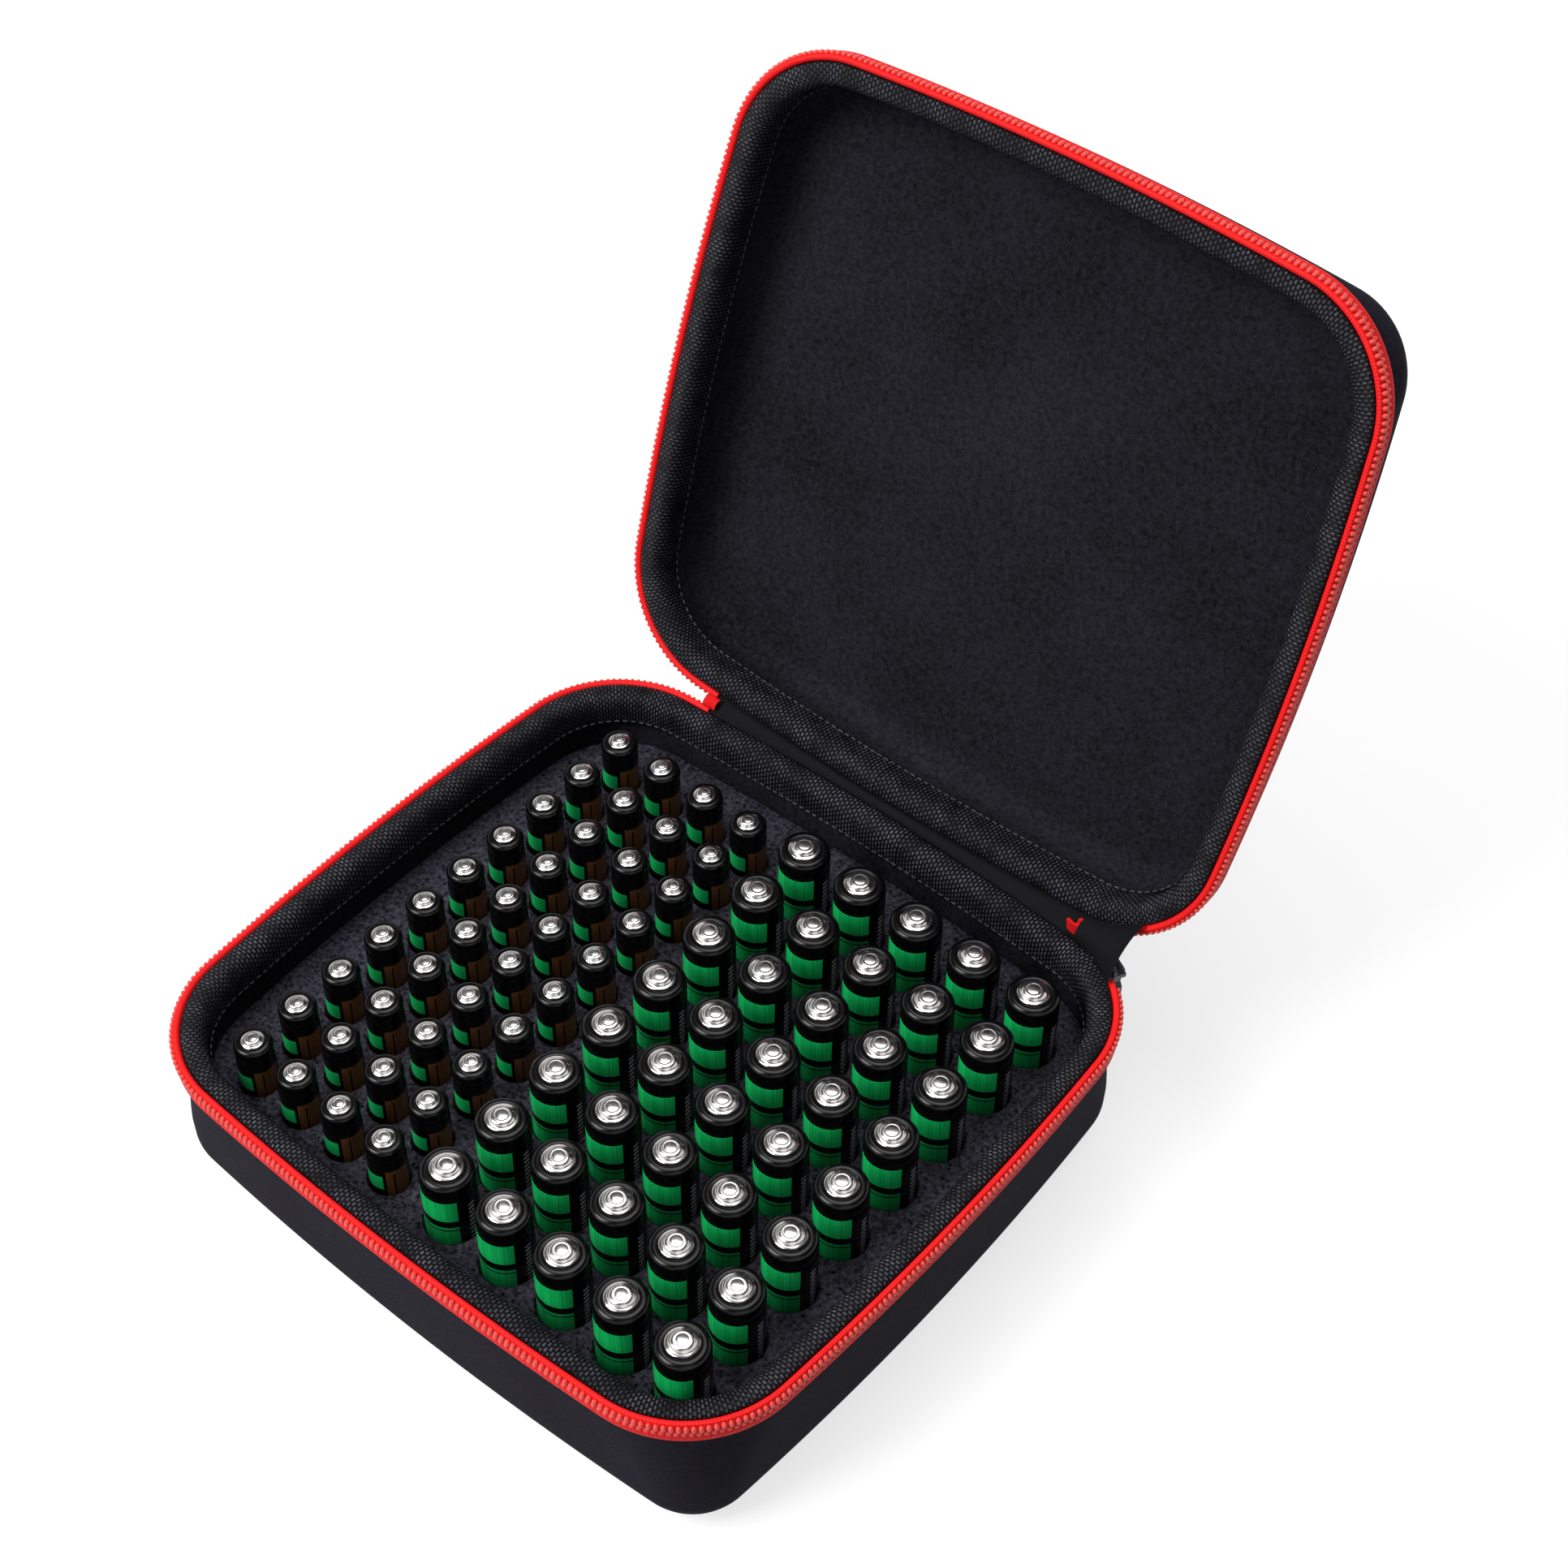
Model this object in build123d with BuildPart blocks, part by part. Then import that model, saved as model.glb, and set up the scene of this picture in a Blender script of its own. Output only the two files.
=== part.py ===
"""Battery storage case: a zip-round moulded case with a foam block full of cells.

Millimetres, +Z up.  The origin is on the table, under the middle of the base.
X runs along the hinge, +Y points to the hinge, and the lid stands open.
Every rim part is drawn from one case outline, moved in or out by an inset.
Depths run from the parting plane into the half that owns the part.
"""
import math
import os

from build123d import *

# Case outline at the rim of the shells: four bowed sides and four round corners
case_width = 202.0
case_depth = 190.5
corner_radius = 32.0
side_bow = 4.5

# Moulded shells
base_height = 52.0
lid_height = 26.0
draft_angle = 3.5
shell_wall = 3.2
shell_edge_radius = 12.0
shell_inner_chamfer = 5.5

# Lining and rolled binding
lining_wall = 0.8
binding_top_depth = 0.5
binding_thickness = 1.6
binding_outer_inset = 0.5
binding_leg_depth = 10.5

# Zip: slanted tape with the coil along its free edge
zip_tape_thickness = 0.8
zip_tape_low_depth = 8.5
zip_tape_low_inset = 0.2
zip_tape_flare = 1.7
zip_coil_width = 2.2
zip_coil_height = 2.3
zip_half_gap = 0.15
zip_left_setback = 40.0
zip_right_setback = 15.0

# Hinge tape along the back
hinge_zip_gap = 1.0
hinge_right_setback = 31.0
hinge_tape_thickness = 1.3
hinge_tape_depth = 9.0
hinge_fold_radius = 1.0
lid_open_angle = 110.0

# Zip slider on the back right corner, and its pull
slider_turn = 27.0
slider_length = 7.0
slider_height = 6.4
slider_plate = 1.0
slider_channel = 1.6
slider_post = 2.6
slider_corner = 1.4
bridge_diameter = 1.4
bridge_length = 4.6
bridge_rise = 1.9
pull_length = 22.0
pull_width = 5.5
pull_neck_width = 3.4
pull_tab_share = 0.8
pull_thickness = 1.2
pull_eye_wall = 0.6
eye_sides = 8
pull_corner = 1.6
pull_clearance = 0.1

# Tucked-in end of the zip tape
tail_overlap = 5.0
tail_length = 6.0
tail_height = 2.0
tail_thickness = 0.9
tail_setback = 2.6

# Foam insert
pad_thickness = 2.0
foam_thickness = 26.5
hole_clearance = 0.35
hole_sides = 6

# Large cells
aa_diameter = 14.5
aa_length = 50.5
aa_sides = 10
aa_cap_top = 5.5
aa_cap_base = 8.8
aa_cap_height = 1.6
aa_least_pitch = 18.6
aa_side_margin = 18.55
aa_front_margin = 16.0
aa_back_margin = 20.0

# Small cells
aaa_diameter = 10.5
aaa_length = 44.5
aaa_sides = 8
aaa_cap_top = 3.8
aaa_cap_base = 6.2
aaa_cap_height = 1.3
aaa_least_pitch = 15.2
aaa_side_margin = 22.45
aaa_front_margin = 16.675
aaa_back_margin = 20.675

# The two blocks of cells: the small ones on the left, the large ones on the right
block_split_share = 0.42599
block_gap = 9.0
cap_sides = 6

# Start, middle and end of an arc
arc_shares = (0, 0.5, 1)

# Fits and cuts
layer_gap = 0.1
seat_gap = 0.25
overrun = 1.0

# Places that follow from the sizes above
half_width = case_width / 2
half_depth = case_depth / 2
wall_slope = math.tan(math.radians(draft_angle))
bridge_radius = bridge_diameter / 2
coil_end_depth = zip_half_gap + zip_coil_height
tape_top_depth = coil_end_depth + layer_gap
tape_height = zip_tape_low_depth - tape_top_depth
tape_slope = zip_tape_flare / tape_height
tape_inset = zip_tape_low_inset - zip_tape_flare
coil_inset = tape_inset + (zip_coil_width - zip_tape_thickness) / 2
binding_end_depth = binding_top_depth + binding_thickness
rim_depth = binding_end_depth + layer_gap
lining_inset = shell_wall + layer_gap
leg_inset = lining_inset + lining_wall + layer_gap
foam_inset = leg_inset
pad_low = shell_wall + layer_gap + lining_wall + layer_gap
cell_floor = pad_low + pad_thickness + layer_gap
foam_high = cell_floor + foam_thickness
hinge_y = half_depth + layer_gap + hinge_tape_thickness
zip_left = zip_left_setback - half_width
zip_right = half_width - zip_right_setback
hinge_left = zip_left + hinge_zip_gap
hinge_right = half_width - hinge_right_setback
tail_left = hinge_right - tail_overlap

# Frames on the parting plane, with z pointing into the half and x along the hinge
turn = math.radians(lid_open_angle)
lid_centre = (0, hinge_y - hinge_y * math.cos(turn), base_height + hinge_y * math.sin(turn))
base_frame = Plane(origin=(0, 0, base_height), x_dir=(1, 0, 0), z_dir=(0, 0, -1))
lid_frame = Plane(origin=lid_centre, x_dir=(1, 0, 0), z_dir=(0, math.sin(turn), math.cos(turn)))

# The back of the case lies at -y in the base's frame and at +y in the lid's
base_back = -1
lid_back = 1


def rim_arcs():
    """The arcs of the shells' rim: four bowed sides, with the corners rounded off."""
    corner_x = half_width - side_bow
    corner_y = half_depth - side_bow
    with BuildSketch() as rim:
        with BuildLine():
            ThreePointArc((-corner_x, -corner_y), (0, -half_depth), (corner_x, -corner_y))
            ThreePointArc((corner_x, -corner_y), (half_width, 0), (corner_x, corner_y))
            ThreePointArc((corner_x, corner_y), (0, half_depth), (-corner_x, corner_y))
            ThreePointArc((-corner_x, corner_y), (-half_width, 0), (-corner_x, -corner_y))
        make_face()
        fillet(rim.vertices(), radius=corner_radius)
    return rim.edges()


def case_outline(inset):
    """The case outline drawn in by inset, or let out where inset is negative."""
    with BuildSketch() as outline:
        with BuildLine():
            for arc in case_arcs:
                middle = arc.arc_center
                growth = (arc.radius - inset) / arc.radius
                ThreePointArc(*(middle + (arc @ share - middle) * growth for share in arc_shares))
        make_face()
    return outline.sketch


def floor_edges(body, frame):
    """The edges round the face that lies deepest in a half."""
    return body.faces().sort_by(Axis(frame.origin, frame.z_dir))[-1].edges()


def drawn_plug(frame, start, end, inset, slope):
    """The case outline filled between two depths, drawn in by slope on the way down."""
    with BuildPart() as plug:
        with BuildSketch(frame.offset(start)):
            add(case_outline(inset))
        with BuildSketch(frame.offset(end)):
            add(case_outline(inset + (end - start) * slope))
        loft(ruled=True)
    return plug.part


def rim_band(frame, start, end, inset, thickness, slope):
    """A closed band round the rim between two depths; inset is that of its inner face."""
    with BuildPart() as band:
        add(drawn_plug(frame, start, end, inset - thickness, slope))
        add(drawn_plug(frame, start, end, inset, slope), mode=Mode.SUBTRACT)
    return band.part


def hollow(frame, inset, end):
    """The drafted space inside a half, from the shell's rim to depth end."""
    with BuildPart() as space:
        with BuildSketch(frame.offset(rim_depth)):
            add(case_outline(inset))
        extrude(amount=end - rim_depth, taper=draft_angle)
        chamfer(floor_edges(space, frame), length=shell_inner_chamfer)
    return space.part


def moulded_shell(frame, height):
    """One half of the case: drafted walls, a rounded bottom edge and an open rim."""
    with BuildPart() as shell:
        with BuildSketch(frame.offset(rim_depth)):
            add(case_outline(0))
        extrude(amount=height - rim_depth, taper=draft_angle)
        fillet(floor_edges(shell, frame), radius=shell_edge_radius)
        add(hollow(frame, shell_wall, height - shell_wall), mode=Mode.SUBTRACT)
    return shell.part


def cloth_lining(frame, height):
    """The cloth inside a half, one wall thick, lying on the shell."""
    outer_end = height - lining_inset
    with BuildPart() as lining:
        add(hollow(frame, lining_inset, outer_end))
        add(hollow(frame, lining_inset + lining_wall, outer_end - lining_wall), mode=Mode.SUBTRACT)
    return lining.part


def rolled_binding(frame):
    """The tape rolled over a rim: a flat top and a leg down the inside."""
    with BuildPart() as binding:
        with BuildSketch(frame.offset(binding_top_depth)):
            add(case_outline(binding_outer_inset))
        extrude(amount=binding_thickness)
        add(drawn_plug(frame, binding_end_depth, binding_leg_depth, leg_inset, wall_slope))
        inner_inset = leg_inset + binding_thickness
        space = drawn_plug(frame, binding_top_depth, binding_leg_depth, inner_inset, wall_slope)
        add(space, mode=Mode.SUBTRACT)
    return binding.part


def open_at_hinge(band, frame, back):
    """A zip band with the stretch along the hinge cut away."""
    cut_depth = corner_radius - zip_tape_flare
    with BuildPart() as open_band:
        add(band)
        with BuildSketch(frame):
            with Locations(((zip_left + zip_right) / 2, back * half_depth)):
                Rectangle(zip_right - zip_left, cut_depth)
        extrude(amount=zip_tape_low_depth + overrun, mode=Mode.SUBTRACT)
    return open_band.part


def zip_tape(frame, back):
    """The knitted tape: sewn to the wall at its low edge, standing off it at the rim."""
    tape_ends = (tape_top_depth, zip_tape_low_depth)
    band = rim_band(frame, *tape_ends, tape_inset, zip_tape_thickness, tape_slope)
    return open_at_hinge(band, frame, back)


def zip_coil(frame, back):
    """The coil on the free edge of the tape, on its own side of the parting plane."""
    coil_slope = 0
    band = rim_band(frame, zip_half_gap, coil_end_depth, coil_inset, zip_coil_width, coil_slope)
    return open_at_hinge(band, frame, back)


def hinge_flap(frame, back):
    """The part of the hinge tape that is sewn to the back of one half."""
    middle = (hinge_left + hinge_right) / 2
    with BuildPart() as flap:
        with BuildSketch(frame):
            with Locations((middle, back * (hinge_y - corner_radius / 2))):
                Rectangle(hinge_right - hinge_left, corner_radius)
            add(case_outline(-layer_gap), mode=Mode.SUBTRACT)
        extrude(amount=hinge_tape_depth)
    return flap.part


def spread(low, high, diameter, least_pitch):
    """The middles of as many cells as fit between two edges, evenly spaced."""
    room = high - low - diameter
    steps = math.floor(room / least_pitch)
    return [low + diameter / 2 + room * step / steps for step in range(steps + 1)]


def cell_rows(left, right, front_margin, back_margin, diameter, least_pitch):
    """The middles of one block of cells, row by row from left to right."""
    row_middles = spread(left, right, diameter, least_pitch)
    cell_middles = spread(front_margin - half_depth, half_depth - back_margin, diameter, least_pitch)
    return [[(x, y) for y in cell_middles] for x in row_middles]


def cell_cans(places, diameter, sides, height):
    """The cans of one row, standing on the floor pad."""
    with BuildPart() as cans:
        with BuildSketch(Plane.XY.offset(cell_floor)):
            with Locations(*places):
                RegularPolygon(radius=diameter / 2, side_count=sides)
        extrude(amount=height)
    return cans.part


def cell_caps(places, low, base, top, height):
    """The domed positive caps of one row, seated on the cans."""
    slope = math.degrees(math.atan((base - top) / 2 / height))
    with BuildPart() as caps:
        with BuildSketch(Plane.XY.offset(low)):
            with Locations(*places):
                RegularPolygon(radius=base / 2, side_count=cap_sides)
        extrude(amount=height, taper=slope)
    return caps.part


def write(piece, name):
    """Label one finished piece and write it as the node of that name."""
    piece.label = name
    export_step(piece, f"parts/{name}.step")


os.makedirs("parts", exist_ok=True)
case_arcs = rim_arcs()

# Base and lid: the same rim parts on the two frames
for half, frame, height, back in (
    ("base", base_frame, base_height, base_back),
    ("lid", lid_frame, lid_height, lid_back),
):
    write(moulded_shell(frame, height), f"{half}_shell")
    write(cloth_lining(frame, height), f"{half}_lining")
    write(rolled_binding(frame), f"{half}_binding")
    write(zip_tape(frame, back), f"{half}_zip_tape")
    write(zip_coil(frame, back), f"{half}_zip_coil")

# Hinge tape: one flap on each half and the fold between them
with BuildPart() as hinge_tape:
    add(hinge_flap(base_frame, base_back))
    add(hinge_flap(lid_frame, lid_back))
    with BuildSketch(Plane.YZ.offset(hinge_left)):
        with Locations((hinge_y, base_height)):
            Circle(hinge_fold_radius)
    extrude(amount=hinge_right - hinge_left)
write(hinge_tape.part, "hinge_tape")

# Tucked-in end of the zip tape, lying on the edge of the hinge tape
with BuildPart() as zip_tape_tail:
    with BuildSketch(Plane.XY.offset(base_height + seat_gap)):
        with Locations((tail_left, hinge_y - tail_setback)):
            Rectangle(tail_length, tail_thickness, align=(Align.MIN, Align.MIN))
    extrude(amount=tail_height)
write(zip_tape_tail.part, "zip_tape_tail")

# Frame of the slider: on the back right corner of the wall, z outwards and y up
corner_arcs = case_arcs.filter_by(lambda arc: arc.radius < half_depth)
corner_arc = corner_arcs.sort_by(Axis((0, 0, 0), (1, 1, 0)))[-1]
slider_angle = math.radians(slider_turn)
slider_outward = Vector(math.sin(slider_angle), math.cos(slider_angle), 0)
slider_along = Vector(-math.cos(slider_angle), math.sin(slider_angle), 0)
slider_foot = corner_arc.arc_center + slider_outward * corner_radius + Vector(0, 0, base_height)
slider_frame = Plane(origin=slider_foot, x_dir=slider_along, z_dir=slider_outward)

# Zip slider: two plates with the channel between them, joined by the post, and the bridge
slider_middle = zip_half_gap + slider_height / 2
outer_plate_low = seat_gap + slider_plate + slider_channel
slider_thickness = outer_plate_low + slider_plate - seat_gap
bridge_span = bridge_length + bridge_diameter
bar_height = seat_gap + slider_thickness + bridge_rise
bar_middle = slider_frame.from_local_coords(Vector(0, -slider_middle, bar_height))
bar_frame = Plane(origin=bar_middle, x_dir=slider_outward, z_dir=slider_along)
tab_frame = Plane(origin=bar_middle, x_dir=slider_along, z_dir=slider_outward)
with BuildPart() as zip_slider:
    for low in (seat_gap, outer_plate_low):
        with BuildSketch(slider_frame.offset(low)) as plate:
            with Locations((0, -slider_middle)):
                Rectangle(slider_length, slider_height)
            chamfer(plate.vertices(), length=slider_corner)
        extrude(amount=slider_plate)
    with BuildSketch(slider_frame.offset(seat_gap)):
        with Locations((0, -slider_middle)):
            Rectangle(slider_post, slider_height - slider_corner)
    extrude(amount=slider_thickness)
    with BuildSketch(slider_frame.offset(outer_plate_low)):
        with Locations((bridge_span / 2, -slider_middle), (-bridge_span / 2, -slider_middle)):
            Rectangle(bridge_diameter, bridge_diameter)
    extrude(amount=slider_plate + bridge_rise + bridge_radius)
    with BuildSketch(bar_frame):
        Circle(bridge_radius)
    extrude(amount=bridge_span / 2, both=True)
write(zip_slider.part, "zip_slider")

# Slider pull: a rolled eye on the bar of the bridge and a flat tab hanging from it
eye_radius = bridge_radius + pull_clearance
eye_outer = eye_radius + pull_eye_wall
eye_length = bridge_length - seat_gap * 2
with BuildPart() as slider_pull:
    with BuildSketch(bar_frame):
        RegularPolygon(eye_outer, side_count=eye_sides)
    extrude(amount=eye_length / 2, both=True)
    with BuildSketch(tab_frame.offset(-pull_thickness / 2)) as tab:
        with Locations((0, -pull_length)):
            Rectangle(pull_width, pull_length * pull_tab_share, align=(Align.CENTER, Align.MIN))
        chamfer(tab.vertices(), length=pull_corner)
        with Locations((0, -pull_length / 2)):
            Rectangle(pull_neck_width, pull_length - pull_corner)
    extrude(amount=pull_thickness)
    with BuildSketch(bar_frame):
        Circle(eye_radius)
    extrude(amount=pull_width, both=True, mode=Mode.SUBTRACT)
write(slider_pull.part, "slider_pull")

# Foam: the floor pad and the block with one hole for each cell
block_split = case_width * block_split_share - half_width
aa_left = block_split + block_gap / 2
aa_right = half_width - aa_side_margin
aaa_left = aaa_side_margin - half_width
aaa_right = block_split - block_gap / 2
aa_places = cell_rows(aa_left, aa_right, aa_front_margin, aa_back_margin, aa_diameter, aa_least_pitch)
aaa_places = cell_rows(
    aaa_left, aaa_right, aaa_front_margin, aaa_back_margin, aaa_diameter, aaa_least_pitch
)
with BuildPart() as foam_floor_pad:
    add(hollow(base_frame, foam_inset, base_height - pad_low))
    split(bisect_by=Plane.XY.offset(pad_low + pad_thickness), keep=Keep.BOTTOM)
write(foam_floor_pad.part, "foam_floor_pad")

with BuildPart() as foam_block:
    add(hollow(base_frame, foam_inset, base_height - pad_low))
    split(bisect_by=Plane.XY.offset(foam_high), keep=Keep.BOTTOM)
    split(bisect_by=Plane.XY.offset(cell_floor), keep=Keep.TOP)
    for rows, diameter in ((aa_places, aa_diameter), (aaa_places, aaa_diameter)):
        with BuildSketch(Plane.XY.offset(cell_floor - overrun)):
            with Locations(*(place for row in rows for place in row)):
                RegularPolygon(diameter / 2 + hole_clearance, side_count=hole_sides, major_radius=False)
        extrude(amount=overrun + foam_thickness + overrun, mode=Mode.SUBTRACT)
write(foam_block.part, "foam_block")

# Cells: every row is one set of cans and one set of caps
aa_sizes = (aa_diameter, aa_sides, aa_length, aa_cap_base, aa_cap_top, aa_cap_height)
aaa_sizes = (aaa_diameter, aaa_sides, aaa_length, aaa_cap_base, aaa_cap_top, aaa_cap_height)
for size, rows, sizes in (("aa", aa_places, aa_sizes), ("aaa", aaa_places, aaa_sizes)):
    diameter, sides, length, cap_base, cap_top, cap_height = sizes
    can_height = length - cap_height
    for number, places in enumerate(rows, start=1):
        name = f"{size}_row_{number}"
        write(cell_cans(places, diameter, sides, can_height), f"{name}_cans")
        write(cell_caps(places, cell_floor + can_height, cap_base, cap_top, cap_height), f"{name}_caps")
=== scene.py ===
import math

import bmesh
import bpy
import numpy as np
from bpy.props import FloatProperty, FloatVectorProperty, IntProperty, PointerProperty
from bpy.types import Operator, Panel, PropertyGroup
from mathutils import Matrix, Vector


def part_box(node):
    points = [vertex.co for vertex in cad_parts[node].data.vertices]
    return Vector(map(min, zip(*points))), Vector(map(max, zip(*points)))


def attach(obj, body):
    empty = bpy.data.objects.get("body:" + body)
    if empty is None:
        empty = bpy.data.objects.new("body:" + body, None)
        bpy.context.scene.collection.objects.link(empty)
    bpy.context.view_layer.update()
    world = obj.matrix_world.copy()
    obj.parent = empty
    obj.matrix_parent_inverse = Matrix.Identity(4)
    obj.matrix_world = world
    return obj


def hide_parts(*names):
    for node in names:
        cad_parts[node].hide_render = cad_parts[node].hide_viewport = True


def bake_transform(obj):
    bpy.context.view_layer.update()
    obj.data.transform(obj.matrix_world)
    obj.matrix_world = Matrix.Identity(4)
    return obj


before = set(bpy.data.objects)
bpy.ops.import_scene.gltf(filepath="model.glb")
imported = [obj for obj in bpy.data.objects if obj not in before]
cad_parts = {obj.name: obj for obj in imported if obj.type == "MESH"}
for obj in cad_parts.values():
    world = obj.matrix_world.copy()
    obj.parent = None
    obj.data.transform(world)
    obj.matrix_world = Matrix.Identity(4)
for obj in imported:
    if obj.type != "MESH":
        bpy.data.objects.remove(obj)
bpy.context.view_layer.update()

bl_info = {
    "name": "Battery Storage Case",
    "version": (1, 0, 0),
    "blender": (4, 5, 0),
    "location": "View3D > Sidebar > Case",
    "description": "Dresses the zip-round battery case: cloth shells, red zip, foam and cells",
    "category": "Object",
}

MM = 0.001
SHARP_EDGE = math.radians(40)  # a sharper fold than this keeps a hard edge
SHELL_STEPS, STITCH_STEPS, ZIP_STEPS, FOAM_STEPS, LAP_STEPS = 260, 400, 420, 200, 45  # places along the rim
RIB_STEPS = 4  # places along the rim for every rib of the binding
HINGE_STEPS, BEND_STEPS = 66, 11  # places along the hinge tape, and round its bend
EASE_STEPS = 5  # places on the rounding of a crease
EDGE_STEPS = 14  # places on the rounding of a shell's bottom edge
WALL_SHARES = (0.02, 0.2, 0.3, 0.4, 0.55, 0.7, 0.85)  # places down a shell's outer wall
MOST_TIGHTENED = 0.6  # share of a corner's radius that may go
CAN_SIDES, CAP_SIDES, HOLE_SIDES, FLOOR_SIDES = 36, 28, 28, 72
FLOOR_PROFILE = ((0.0, 0.0), (4.5, 0.0), (5.1, 0.12), (5.6, 0.45), (5.9, 0.95), (6.0, 1.6), (6.0, 2.6))
FLOOR_GAP = 0.2 * MM  # how far the floor lies below the case


def hex_colour(code):
    """An sRGB hex colour as linear red, green and blue."""
    channels = [int(code[i:i + 2], 16) / 255 for i in (1, 3, 5)]
    return tuple(c / 12.92 if c <= 0.04045 else ((c + 0.055) / 1.055) ** 2.4 for c in channels)


def length(name, description, value):
    """A length property, given in millimetres."""
    return FloatProperty(name=name, description=description, default=value * MM, unit="LENGTH", precision=5)


def degrees(name, description, value):
    """An angle property, given in degrees."""
    return FloatProperty(name=name, description=description, default=math.radians(value), subtype="ANGLE")


def colour(name, description, code):
    """A colour property, given as an sRGB hex value."""
    return FloatVectorProperty(
        name=name, description=description, default=hex_colour(code), subtype="COLOR", min=0.0, max=1.0
    )


class CaseSizes(PropertyGroup):
    """Sizes of the two halves and of what lines their rims."""

    width: length("Width", "Case width at the rim", 202.0)
    depth: length("Depth", "Case depth at the rim", 190.5)
    corner: length("Corner radius", "Radius of the case's corners, seen from above", 32.0)
    bow: length("Side bow", "How far each side bows out", 4.5)
    base_height: length("Base height", "Height of the parting plane above the table", 52.0)
    lid_height: length("Lid height", "Depth of the lid", 26.0)
    rim: length("Rim depth", "Depth of the shells' rims below the parting plane", 2.2)
    wall: length("Wall", "Thickness of a moulded shell", 3.2)
    edge: length("Edge radius", "Rounding round the bottom of a shell", 12.0)
    base_fuller: length("Base corner change", "How much tighter the base's corners are at the bottom", 12.0)
    lid_fuller: length("Lid corner change", "How much tighter the lid's corners are at the top", 8.0)
    fuller_from: length("Corner change start", "Depth below the parting plane where the corners tighten", 8.0)
    inner_chamfer: length("Inner chamfer", "Chamfer inside the bottom edge of a shell", 4.2)
    lining: length("Lining", "Thickness of the lining", 0.8)
    lining_round: length("Lining rounding", "How far the rounding of the lining's creases reaches", 1.8)
    layer_gap: length("Layer gap", "Room between layers", 0.1)
    hinge_y: length("Hinge line", "Distance of the hinge line behind the middle", 96.65)
    draft: degrees("Draft", "Slope of the walls", 3.5)
    open_angle: degrees("Open angle", "How far the lid is open", 110.0)


class TrimSizes(PropertyGroup):
    """Sizes of the binding, its stitches and the zip."""

    rib_pitch: length("Rib pitch", "Spacing of the ribs across the binding", 1.1)
    rib_height: length("Rib height", "Height of the binding's ribs", 0.24)
    lap_at: length("Overlap place", "Where the ends of the base's binding meet, along the hinge", 6.0)
    lap_shift: length("Overlap shift", "How much further round the lid's binding ends meet", 16.0)
    lap_reach: length("Overlap reach", "Half the length of the overlap", 7.0)
    lap_swell: length("Overlap swell", "How far the overlap stands out", 0.22)
    stitch_depth: length("Stitch depth", "Depth of the stitches below the parting plane", 9.2)
    stitch_inset: length("Stitch inset", "How far inside the rim the stitches lie, before draft", 6.46)
    stitch_pitch: length("Stitch pitch", "Spacing of the stitches", 2.4)
    stitch_length: length("Stitch length", "Length of one stitch", 1.7)
    stitch_radius: length("Stitch radius", "Half the thickness of the thread", 0.22)
    tooth_pitch: length("Tooth pitch", "Spacing of the zip's loops", 1.8)
    toothless: length("Toothless ends", "Bare stretch at each end of the zip tape, clear of the fold", 3.0)
    loop_inset: length("Loop inset", "How far inside the rim the zip's loops lie", -2.35)
    loop_depth: length("Loop depth", "Depth of the zip's loops below the parting plane", 2.0)
    seam_inset: length("Seam inset", "How far inside the rim the zip's seam lies", -2.15)
    seam_depth: length("Seam depth", "Depth of the zip's seam below the parting plane", 4.15)
    zip_left: length("Zip left end", "Where the zip ends on the left of the hinge", -61.0)
    zip_right: length("Zip right end", "Where the base's zip ends on the right of the hinge", 86.0)
    lid_zip_right: length("Lid zip right end", "Where the lid's zip ends on the right of the hinge", 81.0)
    hinge_left: length("Hinge left end", "Left end of the hinge tape", -62.0)
    hinge_right: length("Hinge right end", "Right end of the hinge tape", 77.0)


class CellSizes(PropertyGroup):
    """Sizes of the cells, and of the foam and the holes they stand in."""

    large_diameter: length("Large diameter", "Diameter of the large cells", 14.5)
    large_pitch: length("Large pitch", "Spacing of the large cells along a row", 20.0)
    large_count: IntProperty(name="Large count", description="Large cells in a row", default=8, min=2)
    large_rows: IntProperty(name="Large rows", description="Rows of large cells", default=5, min=1)
    large_band: length("Large band", "Drop of the groove below the top of a large can", 5.3)
    large_shoulder: length("Large shoulder", "Rounding at the top of a large can", 1.5)
    large_cap: length("Large cap radius", "Radius of a large cell's terminal", 4.4)
    large_rise: length("Large cap height", "Height of a large cell's terminal", 1.6)
    small_diameter: length("Small diameter", "Diameter of the small cells", 10.5)
    small_pitch: length("Small pitch", "Spacing of the small cells along a row", 15.85)
    small_count: IntProperty(name="Small count", description="Small cells in a row", default=10, min=2)
    small_rows: IntProperty(name="Small rows", description="Rows of small cells", default=4, min=1)
    small_band: length("Small band", "Drop of the groove below the top of a small can", 4.2)
    small_shoulder: length("Small shoulder", "Rounding at the top of a small can", 1.2)
    small_cap: length("Small cap radius", "Radius of a small cell's terminal", 3.1)
    small_rise: length("Small cap height", "Height of a small cell's terminal", 1.3)
    foam_edge: length("Foam edge", "How far the foam's top edge is cut back", 0.6)
    foam_edge_drop: length("Foam edge drop", "How far down the foam's top edge is cut", 0.7)
    foam_chamfer: length("Foam chamfer", "Chamfer round the foam's bottom", 3.4)
    hole_clearance: length("Hole clearance", "Room round a cell in its hole", 0.35)
    hole_lip: length("Hole lip", "Rounding at the mouth of a hole", 0.5)


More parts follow.
